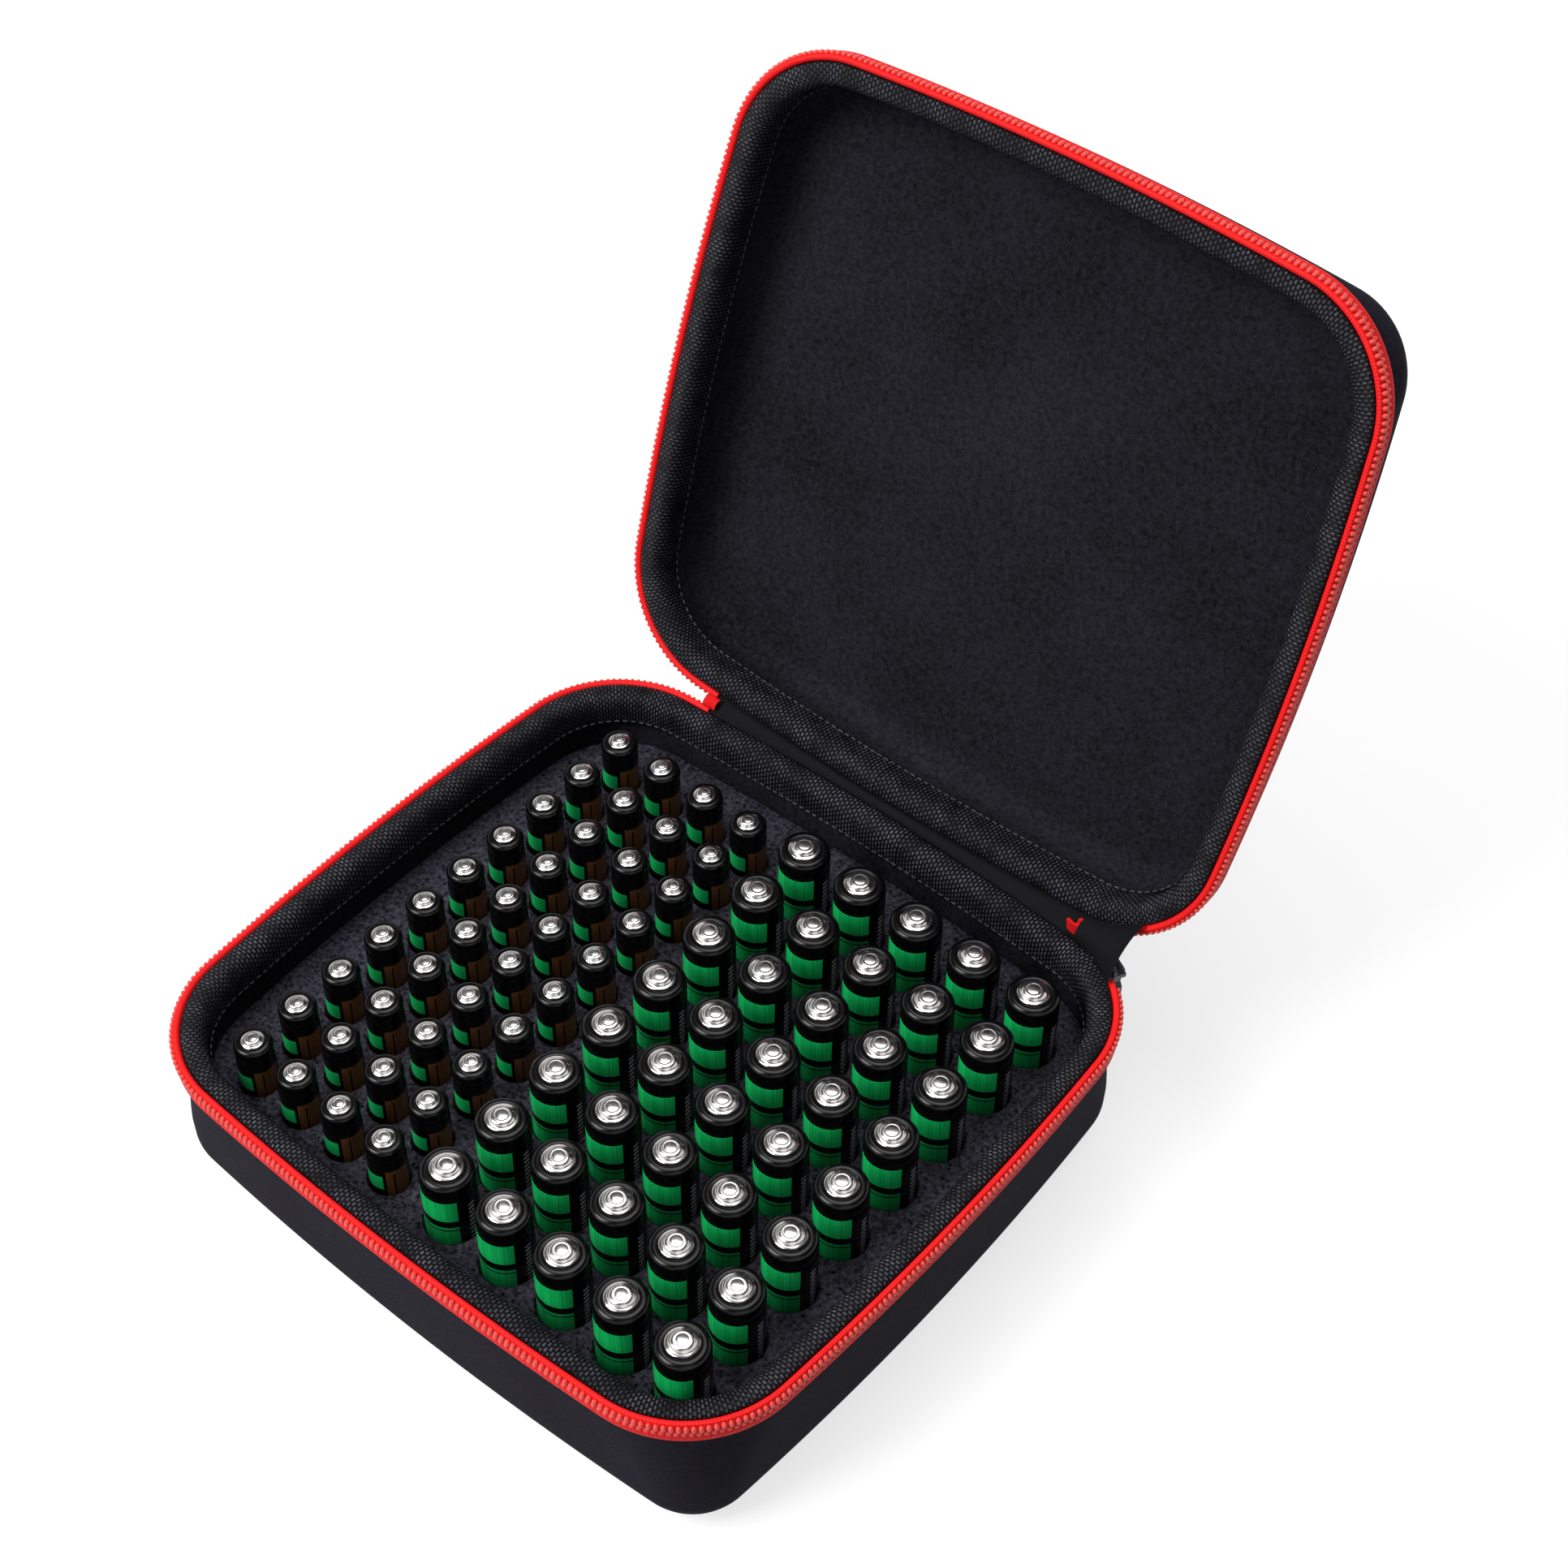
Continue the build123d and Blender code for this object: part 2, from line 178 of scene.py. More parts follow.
class CaseColours(PropertyGroup):
    """Colours of the case and of the cells."""

    shell: colour("Shell cloth", "Woven cloth outside", "#25232b")
    lining: colour("Lining", "Knitted lining", "#1a191f")
    binding: colour("Binding", "Ribbed binding tape", "#040405")
    # The binding thread colour is painted highlight: a lighter grey on the raised threads that stands in for
    # their glints on the black tape.
    binding_thread_highlight: colour("Binding thread", "Raised threads of the binding", "#5f5f6b")
    thread: colour("Sewing thread", "Stitches of the binding", "#4a4a50")
    hinge: colour("Hinge cloth", "Tape of the hinge", "#0f0f12")
    zip_red: colour("Zip red", "Knitted tape of the zip", "#fb1a1c")
    # The zip loop colour is lighter and pinker than the tape: painted highlight standing in for the glints on
    # the nylon loops.
    zip_loop_highlight: colour("Zip loop", "Nylon loops of the zip", "#ff564e")
    foam: colour("Foam", "Open-cell foam", "#28272e")
    green: colour("Green label", "Green part of the wrappers", "#18ca68")
    brown: colour("Brown label", "Brown part of the small wrappers", "#6b4522")
    wrapper: colour("Black wrapper", "Black part of the wrappers", "#060607")
    pale: colour("Pale print", "Grey bars on the large wrappers", "#c9cbd0")
    nickel: colour("Nickel", "Plated terminals", "#d2cfcb")
    slider: colour("Slider enamel", "Slider and pull", "#494c58")
    floor: colour("Floor", "Table the case stands on", "#fbfbfb")


def sizes():
    return bpy.context.scene.case_sizes


def trim():
    return bpy.context.scene.case_trim


def cells():
    return bpy.context.scene.case_cells


def colours():
    return bpy.context.scene.case_colours


class RimPath:
    """The outline of the rim: four bowed sides and four round corners, counter-clockwise."""

    def __init__(self, s):
        half_width, half_depth = s.width / 2, s.depth / 2
        back_radius = ((half_width - s.bow) ** 2 + s.bow ** 2) / (2 * s.bow)
        side_radius = ((half_depth - s.bow) ** 2 + s.bow ** 2) / (2 * s.bow)
        back_y, side_x = half_depth - back_radius, half_width - side_radius
        near, far = back_radius - s.corner, side_radius - s.corner
        between = Vector((side_x, -back_y))
        reach = between.length
        along = (near ** 2 - far ** 2 + reach ** 2) / (2 * reach)
        across = math.sqrt(near ** 2 - along ** 2)
        unit = between / reach
        x, y = max(
            (unit.x * along + sign * unit.y * across, back_y + unit.y * along - sign * unit.x * across)
            for sign in (-1, 1)
        )
        low = math.atan2(y, x - side_x)
        high = math.atan2(y - back_y, x)
        turn = math.pi
        self.arcs = [
            ((side_x, 0), side_radius, -low, low),
            ((x, y), s.corner, low, high),
            ((0, back_y), back_radius, high, turn - high),
            ((-x, y), s.corner, turn - high, turn - low),
            ((-side_x, 0), side_radius, turn - low, turn + low),
            ((-x, -y), s.corner, turn + low, turn + high),
            ((0, -back_y), back_radius, turn + high, 2 * turn - high),
            ((x, -y), s.corner, 2 * turn - high, 2 * turn - low),
        ]
        self.lengths = [radius * (end - start) for _, radius, start, end in self.arcs]
        self.total = sum(self.lengths)

    def at(self, distance):
        """Place and outward normal at a distance along the outline."""
        rest = distance % self.total
        for (centre, radius, start, _), span in zip(self.arcs, self.lengths):
            if rest <= span:
                angle = start + rest / radius
                nx, ny = math.cos(angle), math.sin(angle)
                return centre[0] + radius * nx, centre[1] + radius * ny, nx, ny
            rest -= span
        return self.at(0)

    def back_at(self, x):
        """Distance along the outline where the hinge side has this x."""
        low, high = self.lengths[0] / 2, self.lengths[0] * 1.5 + 2 * self.lengths[1] + self.lengths[2]
        for _ in range(60):
            middle = (low + high) / 2
            if self.at(middle)[0] > x:
                low = middle
            else:
                high = middle
        return low

    def stations(self, start, end, count):
        """Rows of x, y, normal and distance, evenly spaced from start to end."""
        return np.array([(*self.at(d), d) for d in np.linspace(start, end, count)])

    def ring(self, count):
        """Stations all the way round, with the first one not repeated."""
        return self.stations(0, self.total, count + 1)[:-1]

    def sharpening(self, ring):
        """How each station moves, in x and y, for every metre that the corners' radius shrinks."""
        moves, start, number = [], 0, 0
        for _, _, nx, ny, distance in ring:
            while distance > start + self.lengths[number] and number < len(self.arcs) - 1:
                start += self.lengths[number]
                number += 1
            _, _, low, high = self.arcs[number]
            share = (distance - start) / self.lengths[number]
            if number % 2:
                middle, half = (low + high) / 2, (high - low) / 2
                moves.append((math.cos(middle) / math.cos(half) - nx, math.sin(middle) / math.cos(half) - ny))
            else:
                _, _, low, high = self.arcs[number + 1]
                slide = math.tan((high - low) / 2) * (2 * share - 1)
                moves.append((-ny * slide, nx * slide))
        return np.array(moves)


def place(points, half):
    """Points of a half, given as x, y and depth below the parting plane, in the shared frame."""
    s = sizes()
    x, y, depth = points.T
    if half == "base":
        return np.column_stack((x, y, s.base_height - depth))
    back, up = y - s.hinge_y, depth
    cosine, sine = math.cos(s.open_angle), math.sin(s.open_angle)
    return np.column_stack(
        (x, s.hinge_y + back * cosine + up * sine, s.base_height - back * sine + up * cosine)
    )


def linked(name, data):
    """A new object in the scene."""
    made = bpy.data.objects.new(name, data)
    bpy.context.scene.collection.objects.link(made)
    return made


def make_object(name, mesh, *materials):
    """A new object at the origin, with its faces pointing outwards and shaded smooth."""
    for material in materials:
        mesh.materials.append(material)
    edit = bmesh.new()
    edit.from_mesh(mesh)
    bmesh.ops.recalc_face_normals(edit, faces=edit.faces)
    edit.to_mesh(mesh)
    edit.free()
    mesh.polygons.foreach_set("use_smooth", [True] * len(mesh.polygons))
    mesh.set_sharp_from_angle(angle=SHARP_EDGE)
    return linked(name, mesh)


def sweep(
    name, stations, profile, half, material, closed_profile=False, open_path=False, lift=None, shift=None
):
    """Carry a profile of inset and depth along the rim and close its ends.

    The map of the surface holds metres: along the rim, and along the profile.
    """
    profile = np.array(profile, float)
    n, m = len(stations), len(profile)
    x, y, nx, ny, s = (column[:, None] for column in stations.T)
    inset = np.broadcast_to(profile[:, 0], (n, m))
    depth = np.broadcast_to(profile[:, 1], (n, m))
    if lift is not None:
        following, before = np.roll(profile, -1, 0), np.roll(profile, 1, 0)
        run = following - before
        run = run / np.maximum(np.linalg.norm(run, axis=1, keepdims=True), 1e-9)
        inset = inset - lift * run[:, 1]
        depth = depth + lift * run[:, 0]
    points = np.stack((x - nx * inset, y - ny * inset, depth), axis=2)
    if shift is not None:
        points[:, :, :2] += shift
    points = points.reshape(-1, 3)
    gap = s[1, 0] - s[0, 0]
    along = np.append(s[:, 0], s[-1, 0] + gap)
    steps = np.linalg.norm(np.diff(np.vstack((profile, profile[:1])), axis=0), axis=1)
    down = np.append(0, np.cumsum(steps))
    faces, spots = [], []
    for i in range(n - 1 if open_path else n):
        for j in range(m if closed_profile else m - 1):
            corners = [(i, j), (i + 1, j), (i + 1, j + 1), (i, j + 1)]
            faces.append([row % n * m + column % m for row, column in corners])
            spots += [(along[row], down[column]) for row, column in corners]
    ends = []
    if not closed_profile:
        ends = [[i * m + j for i in range(n)] for j in (0, m - 1)]
    elif open_path:
        ends = [[i * m + j for j in range(m)] for i in (0, n - 1)]
    for loop in ends:
        faces.append(loop)
        spots += [tuple(points[corner, :2]) for corner in loop]
    mesh = bpy.data.meshes.new(name)
    mesh.from_pydata(place(points, half).tolist(), [], faces)
    layer = mesh.uv_layers.new(name="UVMap")
    layer.data.foreach_set("uv", np.array(spots, np.float32).ravel())
    return make_object(name, mesh, material)


def add_node(tree, kind, links=None, out=None, **settings):
    """One node with its settings, and its inputs set or linked; gives the node or one output."""
    made = tree.nodes.new(kind)
    for key, value in settings.items():
        setattr(made, key, value)
    for key, value in (links or {}).items():
        if isinstance(value, bpy.types.NodeSocket):
            tree.links.new(value, made.inputs[key])
        else:
            made.inputs[key].default_value = value
    return made if out is None else made.outputs[out]


def new_material(name, base, roughness, **values):
    """A material with one principled shader; uniform values sit on the shader itself."""
    material = bpy.data.materials.new(name)
    material.use_nodes = True
    tree = material.node_tree
    shader = tree.nodes["Principled BSDF"]
    shader.inputs["Base Color"].default_value = (*base, 1)
    shader.inputs["Roughness"].default_value = roughness
    for key, value in values.items():
        shader.inputs[key.replace("_", " ")].default_value = value
    return material, tree, shader


def shade(base, factor):
    """A colour made lighter or darker by a factor."""
    return (*(min(c * factor, 1) for c in base), 1)


def per_mm(size):
    """Pattern scale for one repeat every so many millimetres."""
    return 1 / (size * MM)


def rib_spacing():
    """Spacing of the binding's ribs, so that a whole number goes round."""
    total = RimPath(sizes()).total
    return total / round(total / trim().rib_pitch)


def surface(tree, shader, level, dark, light, relief=None):
    """Colours a shader between two tones by a level; relief is a height, its depth and its strength."""
    tone = add_node(tree, "ShaderNodeMix", {0: level, 6: dark, 7: light}, 2, data_type="RGBA")
    tree.links.new(tone, shader.inputs["Base Color"])
    if relief:
        height, depth, strength = relief
        links = {"Height": height, "Distance": depth, "Strength": strength}
        normal = add_node(tree, "ShaderNodeBump", links, "Normal")
        tree.links.new(normal, shader.inputs["Normal"])


def mottled(name, base, roughness, width, detail, dark, light, relief=None, **values):
    """A material with one even grain, so many mm wide, that takes its colour from dark to light.

    Relief, where there is any, is the depth of the grain and its strength.
    """
    material, tree, shader = new_material(name, base, roughness, **values)
    spot = add_node(tree, "ShaderNodeTexCoord", out="Object")
    links = {"Vector": spot, "Scale": per_mm(width), "Detail": detail}
    grain = add_node(tree, "ShaderNodeTexNoise", links, "Fac")
    surface(tree, shader, grain, shade(base, dark), shade(base, light), relief and (grain, *relief))
    return material


def woven_shell_cloth():
    """Polyester cloth laminated to moulded foam: matt, with a plain weave.

    Such threads are usually about 0.35 mm; they are drawn at 0.8 mm so that they show.
    """
    base = colours().shell
    material, tree, shader = new_material("woven_shell_cloth", base, 0.8, Specular_IOR_Level=0.04)
    flat = add_node(tree, "ShaderNodeUVMap", out="UV", uv_map="UVMap")
    split = add_node(tree, "ShaderNodeSeparateXYZ", {"Vector": flat})
    waves = []
    for axis in ("X", "Y"):
        links = {0: split.outputs[axis], 1: 2 * math.pi * per_mm(0.8)}
        turns = add_node(tree, "ShaderNodeMath", links, 0, operation="MULTIPLY")
        waves.append(add_node(tree, "ShaderNodeMath", {0: turns}, 0, operation="SINE"))
    weave = add_node(tree, "ShaderNodeMath", {0: waves[0], 1: waves[1]}, 0, operation="MULTIPLY")
    spot = add_node(tree, "ShaderNodeTexCoord", out="Object")
    links = {"Vector": spot, "Scale": per_mm(0.9), "Detail": 4.0, "Roughness": 0.65}
    grain = add_node(tree, "ShaderNodeTexNoise", links, "Fac")
    links = {"Vector": spot, "Scale": per_mm(30), "Detail": 1.0}
    cloud = add_node(tree, "ShaderNodeTexNoise", links, "Fac")
    level = add_node(tree, "ShaderNodeMath", {0: weave, 1: 0.12, 2: grain}, 0, operation="MULTIPLY_ADD")
    level = add_node(tree, "ShaderNodeMath", {0: cloud, 1: 0.4, 2: level}, 0, operation="MULTIPLY_ADD")
    links = {"Value": level, "From Min": 0.45, "From Max": 0.95}
    level = add_node(tree, "ShaderNodeMapRange", links, "Result")
    relief = add_node(tree, "ShaderNodeMath", {0: weave, 1: 0.5, 2: grain}, 0, operation="MULTIPLY_ADD")
    surface(tree, shader, level, shade(base, 0.6), shade(base, 1.4), (relief, 0.06 * MM, 0.6))
    return material


def knit_lining_cloth():
    """Fine knitted nylon over moulded foam: soft and matt.

    Such stitches are usually about 0.5 mm; their grain is drawn at 1.4 mm so that it shows.
    """
    base = colours().lining
    material, tree, shader = new_material("knit_lining_cloth", base, 0.9, Specular_IOR_Level=0.08)
    spot = add_node(tree, "ShaderNodeTexCoord", out="Object")
    links = {"Vector": spot, "Scale": per_mm(1.4), "Detail": 3.0, "Roughness": 0.8}
    grain = add_node(tree, "ShaderNodeTexNoise", links, "Fac")
    links = {"Vector": spot, "Scale": per_mm(34), "Detail": 1.0}
    cloud = add_node(tree, "ShaderNodeTexNoise", links, "Fac")
    level = add_node(tree, "ShaderNodeMath", {0: cloud, 1: 0.25, 2: grain}, 0, operation="MULTIPLY_ADD")
    links = {"Value": level, "From Min": 0.4, "From Max": 0.85}
    level = add_node(tree, "ShaderNodeMapRange", links, "Result")
    surface(tree, shader, level, shade(base, 0.15), shade(base, 2.1), (grain, 0.15 * MM, 0.7))
    return material


def ribbed_binding_tape():
    """Woven polyester tape: raised threads stand in offset rows across it; their lighter colour, in random
    patches, is painted highlight.

    The rows are about 0.9 mm apart in the photo; they are drawn at the ribs' spacing so that both agree.
    """
    base, thread = colours().binding, colours().binding_thread_highlight
    spacing = rib_spacing()
    material, tree, shader = new_material("ribbed_binding_tape", base, 0.55, Specular_IOR_Level=0.12)
    flat = add_node(tree, "ShaderNodeUVMap", out="UV", uv_map="UVMap")
    split = add_node(tree, "ShaderNodeSeparateXYZ", {"Vector": flat})
    along = add_node(tree, "ShaderNodeMath", {0: split.outputs["X"], 1: spacing / 2}, 0, operation="ADD")
    turned = add_node(tree, "ShaderNodeCombineXYZ", {"X": split.outputs["Y"], "Y": along}, "Vector")
    links = {
        "Vector": turned, "Color1": (1, 1, 1, 1), "Color2": (0.45, 0.45, 0.45, 1), "Mortar": (0, 0, 0, 1),
        "Scale": 1.0, "Mortar Size": 0.38 * MM, "Mortar Smooth": 0.5, "Brick Width": 1.7 * MM,
        "Row Height": spacing,
    }
    threads = add_node(tree, "ShaderNodeTexBrick", links, "Color", offset=0.5)
    spot = add_node(tree, "ShaderNodeTexCoord", out="Object")
    links = {"Vector": spot, "Scale": per_mm(6), "Detail": 2.0}
    highlight_patches = add_node(tree, "ShaderNodeTexNoise", links, "Fac")
    links = {"Value": highlight_patches, "From Min": 0.2, "From Max": 0.7}
    highlight_patches = add_node(tree, "ShaderNodeMapRange", links, "Result")
    # Painted highlight: the threads are made lighter in random patches, standing in for their glints.
    level = add_node(tree, "ShaderNodeMath", {0: threads, 1: highlight_patches}, 0, operation="MULTIPLY")
    surface(tree, shader, level, (*base, 1), (*thread, 1), (threads, 0.35 * MM, 1.0))
    return material


def nylon_zip_loops():
    """Dyed nylon wire, drawn and coiled: painted lighter and pinker than the tape as painted highlight, with
    soft highlights from the shader too.
    """
    return mottled(
        "nylon_zip_loops", colours().zip_loop_highlight, 0.42, width=3, detail=2.0, dark=0.8, light=1.15,
        IOR=1.53, Specular_IOR_Level=0.3,
    )


def knitted_zip_tape():
    """Dyed polyester knit, soft and bright, with fine ribs across the tape 0.85 mm apart."""
    base = colours().zip_red
    material, tree, shader = new_material("knitted_zip_tape", base, 0.6, Specular_IOR_Level=0.2)
    flat = add_node(tree, "ShaderNodeUVMap", out="UV", uv_map="UVMap")
    split = add_node(tree, "ShaderNodeSeparateXYZ", {"Vector": flat})
    links = {0: split.outputs["X"], 1: 2 * math.pi * per_mm(0.85)}
    turns = add_node(tree, "ShaderNodeMath", links, 0, operation="MULTIPLY")
    ribs = add_node(tree, "ShaderNodeMath", {0: turns}, 0, operation="SINE")
    links = {"Value": ribs, "From Min": -1.0, "From Max": 1.0}
    ribs = add_node(tree, "ShaderNodeMapRange", links, "Result")
    surface(tree, shader, ribs, shade(base, 0.74), shade(base, 1.05), (ribs, 0.1 * MM, 0.6))
    return material


def sewing_thread():
    """Twisted polyester thread: dull grey, darker and lighter in random patches about 5 mm across."""
    return mottled(
        "sewing_thread", colours().thread, 0.7, width=5, detail=1.0, dark=0.3, light=1.6,
        Specular_IOR_Level=0.15,
    )


def hinge_cloth():
    """Plain woven nylon tape, flat and black."""
    return mottled(
        "hinge_cloth", colours().hinge, 0.8, width=0.8, detail=3.0, dark=0.5, light=1.7,
        relief=(0.08 * MM, 0.5), Specular_IOR_Level=0.1,
    )


def enamelled_zinc():
    """Die-cast zinc under satin enamel: an even slate grey with a slight sheen on its edges."""
    return mottled(
        "enamelled_zinc", colours().slider, 0.4, width=2.5, detail=3.0, dark=0.7, light=1.4,
        Specular_IOR_Level=0.4, Coat_Weight=0.15,
    )


def open_cell_foam():
    """Cut polyurethane foam: matt charcoal, speckled by its open cells.

    The specks are about 0.3 mm in the photo; their patterns repeat at 1.2 and 1.5 mm so that they show.
    """
    base = colours().foam
    material, tree, shader = new_material("open_cell_foam", base, 0.95, Specular_IOR_Level=0.06)
    spot = add_node(tree, "ShaderNodeTexCoord", out="Object")
    pores = add_node(tree, "ShaderNodeTexVoronoi", {"Vector": spot, "Scale": per_mm(1.2)}, "Distance")
    links = {"Vector": spot, "Scale": per_mm(1.5), "Detail": 3.0, "Roughness": 0.85}
    grain = add_node(tree, "ShaderNodeTexNoise", links, "Fac")
    level = add_node(tree, "ShaderNodeMath", {0: pores, 1: 0.3, 2: grain}, 0, operation="MULTIPLY_ADD")
    links = {"Value": level, "From Min": 0.45, "From Max": 0.9}
    level = add_node(tree, "ShaderNodeMapRange", links, "Result")
    surface(tree, shader, level, shade(base, 0.1), shade(base, 3.6), (level, 0.4 * MM, 0.8))
    return material


def printed_area(tree, pairs):
    """1 where every value lies between its two limits, with soft edges: what a printing plate covers."""
    cover = None
    for value, low, high, soft in pairs:
        for start, end in ((low - soft, low + soft), (high + soft, high - soft)):
            links = {"Value": value, "From Min": start, "From Max": end}
            edge = add_node(tree, "ShaderNodeMapRange", links, "Result")
            if cover is not None:
                edge = add_node(tree, "ShaderNodeMath", {0: cover, 1: edge}, 0, operation="MULTIPLY")
            cover = edge
    return cover


def printed_sleeve(name):
    """Glossy printed film shrunk over a steel can: deep black with sharp highlights.

    Also gives its map, the angle round the cell in degrees, 0 towards the front, and the drop below its
    top in mm.
    """
    material, tree, shader = new_material(name, colours().wrapper, 0.22, IOR=1.5, Specular_IOR_Level=0.25)
    flat = add_node(tree, "ShaderNodeUVMap", out="UV", uv_map="UVMap")
    split = add_node(tree, "ShaderNodeSeparateXYZ", {"Vector": flat})
    angle = add_node(tree, "ShaderNodeMath", {0: split.outputs["X"], 1: 360.0}, 0, operation="MULTIPLY")
    drop = add_node(tree, "ShaderNodeMath", {0: split.outputs["Y"], 1: 100.0}, 0, operation="MULTIPLY")
    return material, tree, shader, flat, angle, drop


def print_over(tree, tone, inks):
    """Prints inks one over the other, each on its own area."""
    for area, ink in inks:
        links = {0: printed_area(tree, area), 6: tone, 7: ink}
        tone = add_node(tree, "ShaderNodeMix", links, 2, data_type="RGBA")
    return tone


def large_cell_sleeve():
    """Black sleeve with a streaked green panel, one plain dark band and a ladder of grey bars."""
    c = colours()
    material, tree, shader, flat, angle, drop = printed_sleeve("large_cell_sleeve")
    black = (*c.wrapper, 1)
    drawn = add_node(tree, "ShaderNodeMapping", {"Vector": flat, "Scale": (95.0, 2.0, 1.0)}, "Vector")
    streak = add_node(tree, "ShaderNodeTexNoise", {"Vector": drawn, "Scale": 1.0, "Detail": 2.0}, "Fac")
    links = {"Value": streak, "From Min": 0.32, "From Max": 0.7}
    streak = add_node(tree, "ShaderNodeMapRange", links, "Result")
    links = {0: streak, 6: shade(c.green, 0.6), 7: shade(c.green, 1.12)}
    panel = add_node(tree, "ShaderNodeMix", links, 2, data_type="RGBA")
    bands = (((drop, 13.6, 16.2, 0.1),), black), (((drop, 17.2, 17.7, 0.08),), black)
    panel = print_over(tree, panel, bands)
    rung = add_node(tree, "ShaderNodeMath", {0: drop, 1: 1 / 1.7}, 0, operation="MULTIPLY")
    rung = add_node(tree, "ShaderNodeMath", {0: rung}, 0, operation="FRACT")
    tone = print_over(tree, black, (
        (((angle, -82, 22, 0.8), (drop, 5.9, 60, 0.12)), panel),
        (((rung, 0.2, 0.6, 0.06), (angle, 47, 62, 0.8), (drop, 9.0, 60, 0.1)), (*c.pale, 1)),
    ))
    tree.links.new(tone, shader.inputs["Base Color"])
    return material


def small_cell_sleeve():
    """Black sleeve with a short green band and a plain brown panel."""
    c = colours()
    material, tree, shader, _, angle, drop = printed_sleeve("small_cell_sleeve")
    black = (*c.wrapper, 1)
    spot = add_node(tree, "ShaderNodeTexCoord", out="Object")
    links = {"Vector": spot, "Scale": per_mm(0.8), "Detail": 2.0}
    grain = add_node(tree, "ShaderNodeTexNoise", links, "Fac")
    links = {0: grain, 6: shade(c.brown, 0.75), 7: shade(c.brown, 1.15)}
    brown = add_node(tree, "ShaderNodeMix", links, 2, data_type="RGBA")
    tone = print_over(tree, black, (
        (((angle, -84, -8, 0.8), (drop, 9.6, 15.0, 0.1)), shade(c.green, 1.0)),
        (((angle, 2, 80, 0.8), (drop, 7.6, 60, 0.1)), brown),
        (((angle, 24, 29, 0.6), (drop, 8.8, 60, 0.1)), black),
    ))
    tree.links.new(tone, shader.inputs["Base Color"])
    return material


def nickel_plate():
    """Pressed steel, nickel-plated: mirror-bright, a little duller in patches."""
    material, tree, shader = new_material("nickel_plate", colours().nickel, 0.24, Metallic=1.0)
    spot = add_node(tree, "ShaderNodeTexCoord", out="Object")
    links = {"Vector": spot, "Scale": per_mm(1.4), "Detail": 3.0}
    wear = add_node(tree, "ShaderNodeTexNoise", links, "Fac")
    links = {"Value": wear, "From Min": 0.2, "From Max": 0.8, "To Min": 0.14, "To Max": 0.28}
    rough = add_node(tree, "ShaderNodeMapRange", links, "Result")
    tree.links.new(rough, shader.inputs["Roughness"])
    return material


MADE = {}


def finish_of(maker):
    """The material of a maker function, made once."""
    if maker not in MADE:
        MADE[maker] = maker()
    return MADE[maker]


def new_tree(name, **inputs):
    """An empty geometry tree with named inputs of given kinds, and its two end nodes."""
    tree = bpy.data.node_groups.new(name, "GeometryNodeTree")
    tree.interface.new_socket(name="Geometry", in_out="OUTPUT", socket_type="NodeSocketGeometry")
    for label, kind in inputs.items():
        tree.interface.new_socket(name=label, in_out="INPUT", socket_type=f"NodeSocket{kind}")
    return tree, add_node(tree, "NodeGroupInput"), add_node(tree, "NodeGroupOutput")


def close_tree(tree, source, target, instances):
    """Realize what was placed and give it its material."""
    real = add_node(tree, "GeometryNodeRealizeInstances", {"Geometry": instances}, "Geometry")
    links = {"Geometry": real, "Material": source.outputs["Material"]}
    done = add_node(tree, "GeometryNodeSetMaterial", links, "Geometry")
    tree.links.new(done, target.inputs["Geometry"])


def along_path_tree():
    """Places one shape along a curve at an even pitch, turned to follow it."""
    tree, source, target = new_tree(
        "along_path", Geometry="Geometry", Shape="Object", Pitch="Float", Material="Material"
    )
    links = {"Curve": source.outputs["Geometry"], "Length": source.outputs["Pitch"]}
    points = add_node(tree, "GeometryNodeCurveToPoints", links, mode="LENGTH")
    links = {"Vector": points.outputs["Tangent"]}
    turn = add_node(tree, "FunctionNodeAlignRotationToVector", links, "Rotation", axis="X", pivot_axis="Z")
    shape = add_node(tree, "GeometryNodeObjectInfo", {"Object": source.outputs["Shape"]}, "Geometry")
    links = {"Points": points.outputs["Points"], "Instance": shape, "Rotation": turn}
    placed = add_node(tree, "GeometryNodeInstanceOnPoints", links, "Instances")
    close_tree(tree, source, target, placed)
    return tree


def cell_row_tree():
    """Stands equal cells in a straight row."""
    tree, source, target = new_tree(
        "cell_row", Geometry="Geometry", Cell="Object", Count="Int", First="Vector", Step="Vector",
        Material="Material",
    )
    links = {
        "Count": source.outputs["Count"], "Start Location": source.outputs["First"],
        "Offset": source.outputs["Step"],
    }
    line = add_node(tree, "GeometryNodeMeshLine", links, "Mesh", mode="OFFSET")
    cell = add_node(tree, "GeometryNodeObjectInfo", {"Object": source.outputs["Cell"]}, "Geometry")
    placed = add_node(tree, "GeometryNodeInstanceOnPoints", {"Points": line, "Instance": cell}, "Instances")
    close_tree(tree, source, target, placed)
    return tree


def grown_mesh(name, carrier, tree, values):
    """The plain mesh that a geometry tree makes on a carrier object, which is then removed."""
    bpy.context.scene.collection.objects.link(carrier)
    modifier = carrier.modifiers.new(tree.name, "NODES")
    modifier.node_group = tree
    for item in tree.interface.items_tree:
        if item.in_out == "INPUT" and item.name in values:
            modifier[item.identifier] = values[item.name]
    graph = bpy.context.evaluated_depsgraph_get()
    mesh = bpy.data.meshes.new_from_object(
        carrier.evaluated_get(graph), preserve_all_data_layers=True, depsgraph=graph
    )
    mesh.name = name
    carrier.modifiers.remove(modifier)
    bpy.data.objects.remove(carrier)
    return mesh


def placed_mesh(mesh, half):
    """Moves a mesh from a half's own x, y and depth to the shared frame."""
    points = np.empty(len(mesh.vertices) * 3)
    mesh.vertices.foreach_get("co", points)
    mesh.vertices.foreach_set("co", place(points.reshape(-1, 3), half).ravel())
    mesh.update()
    return mesh


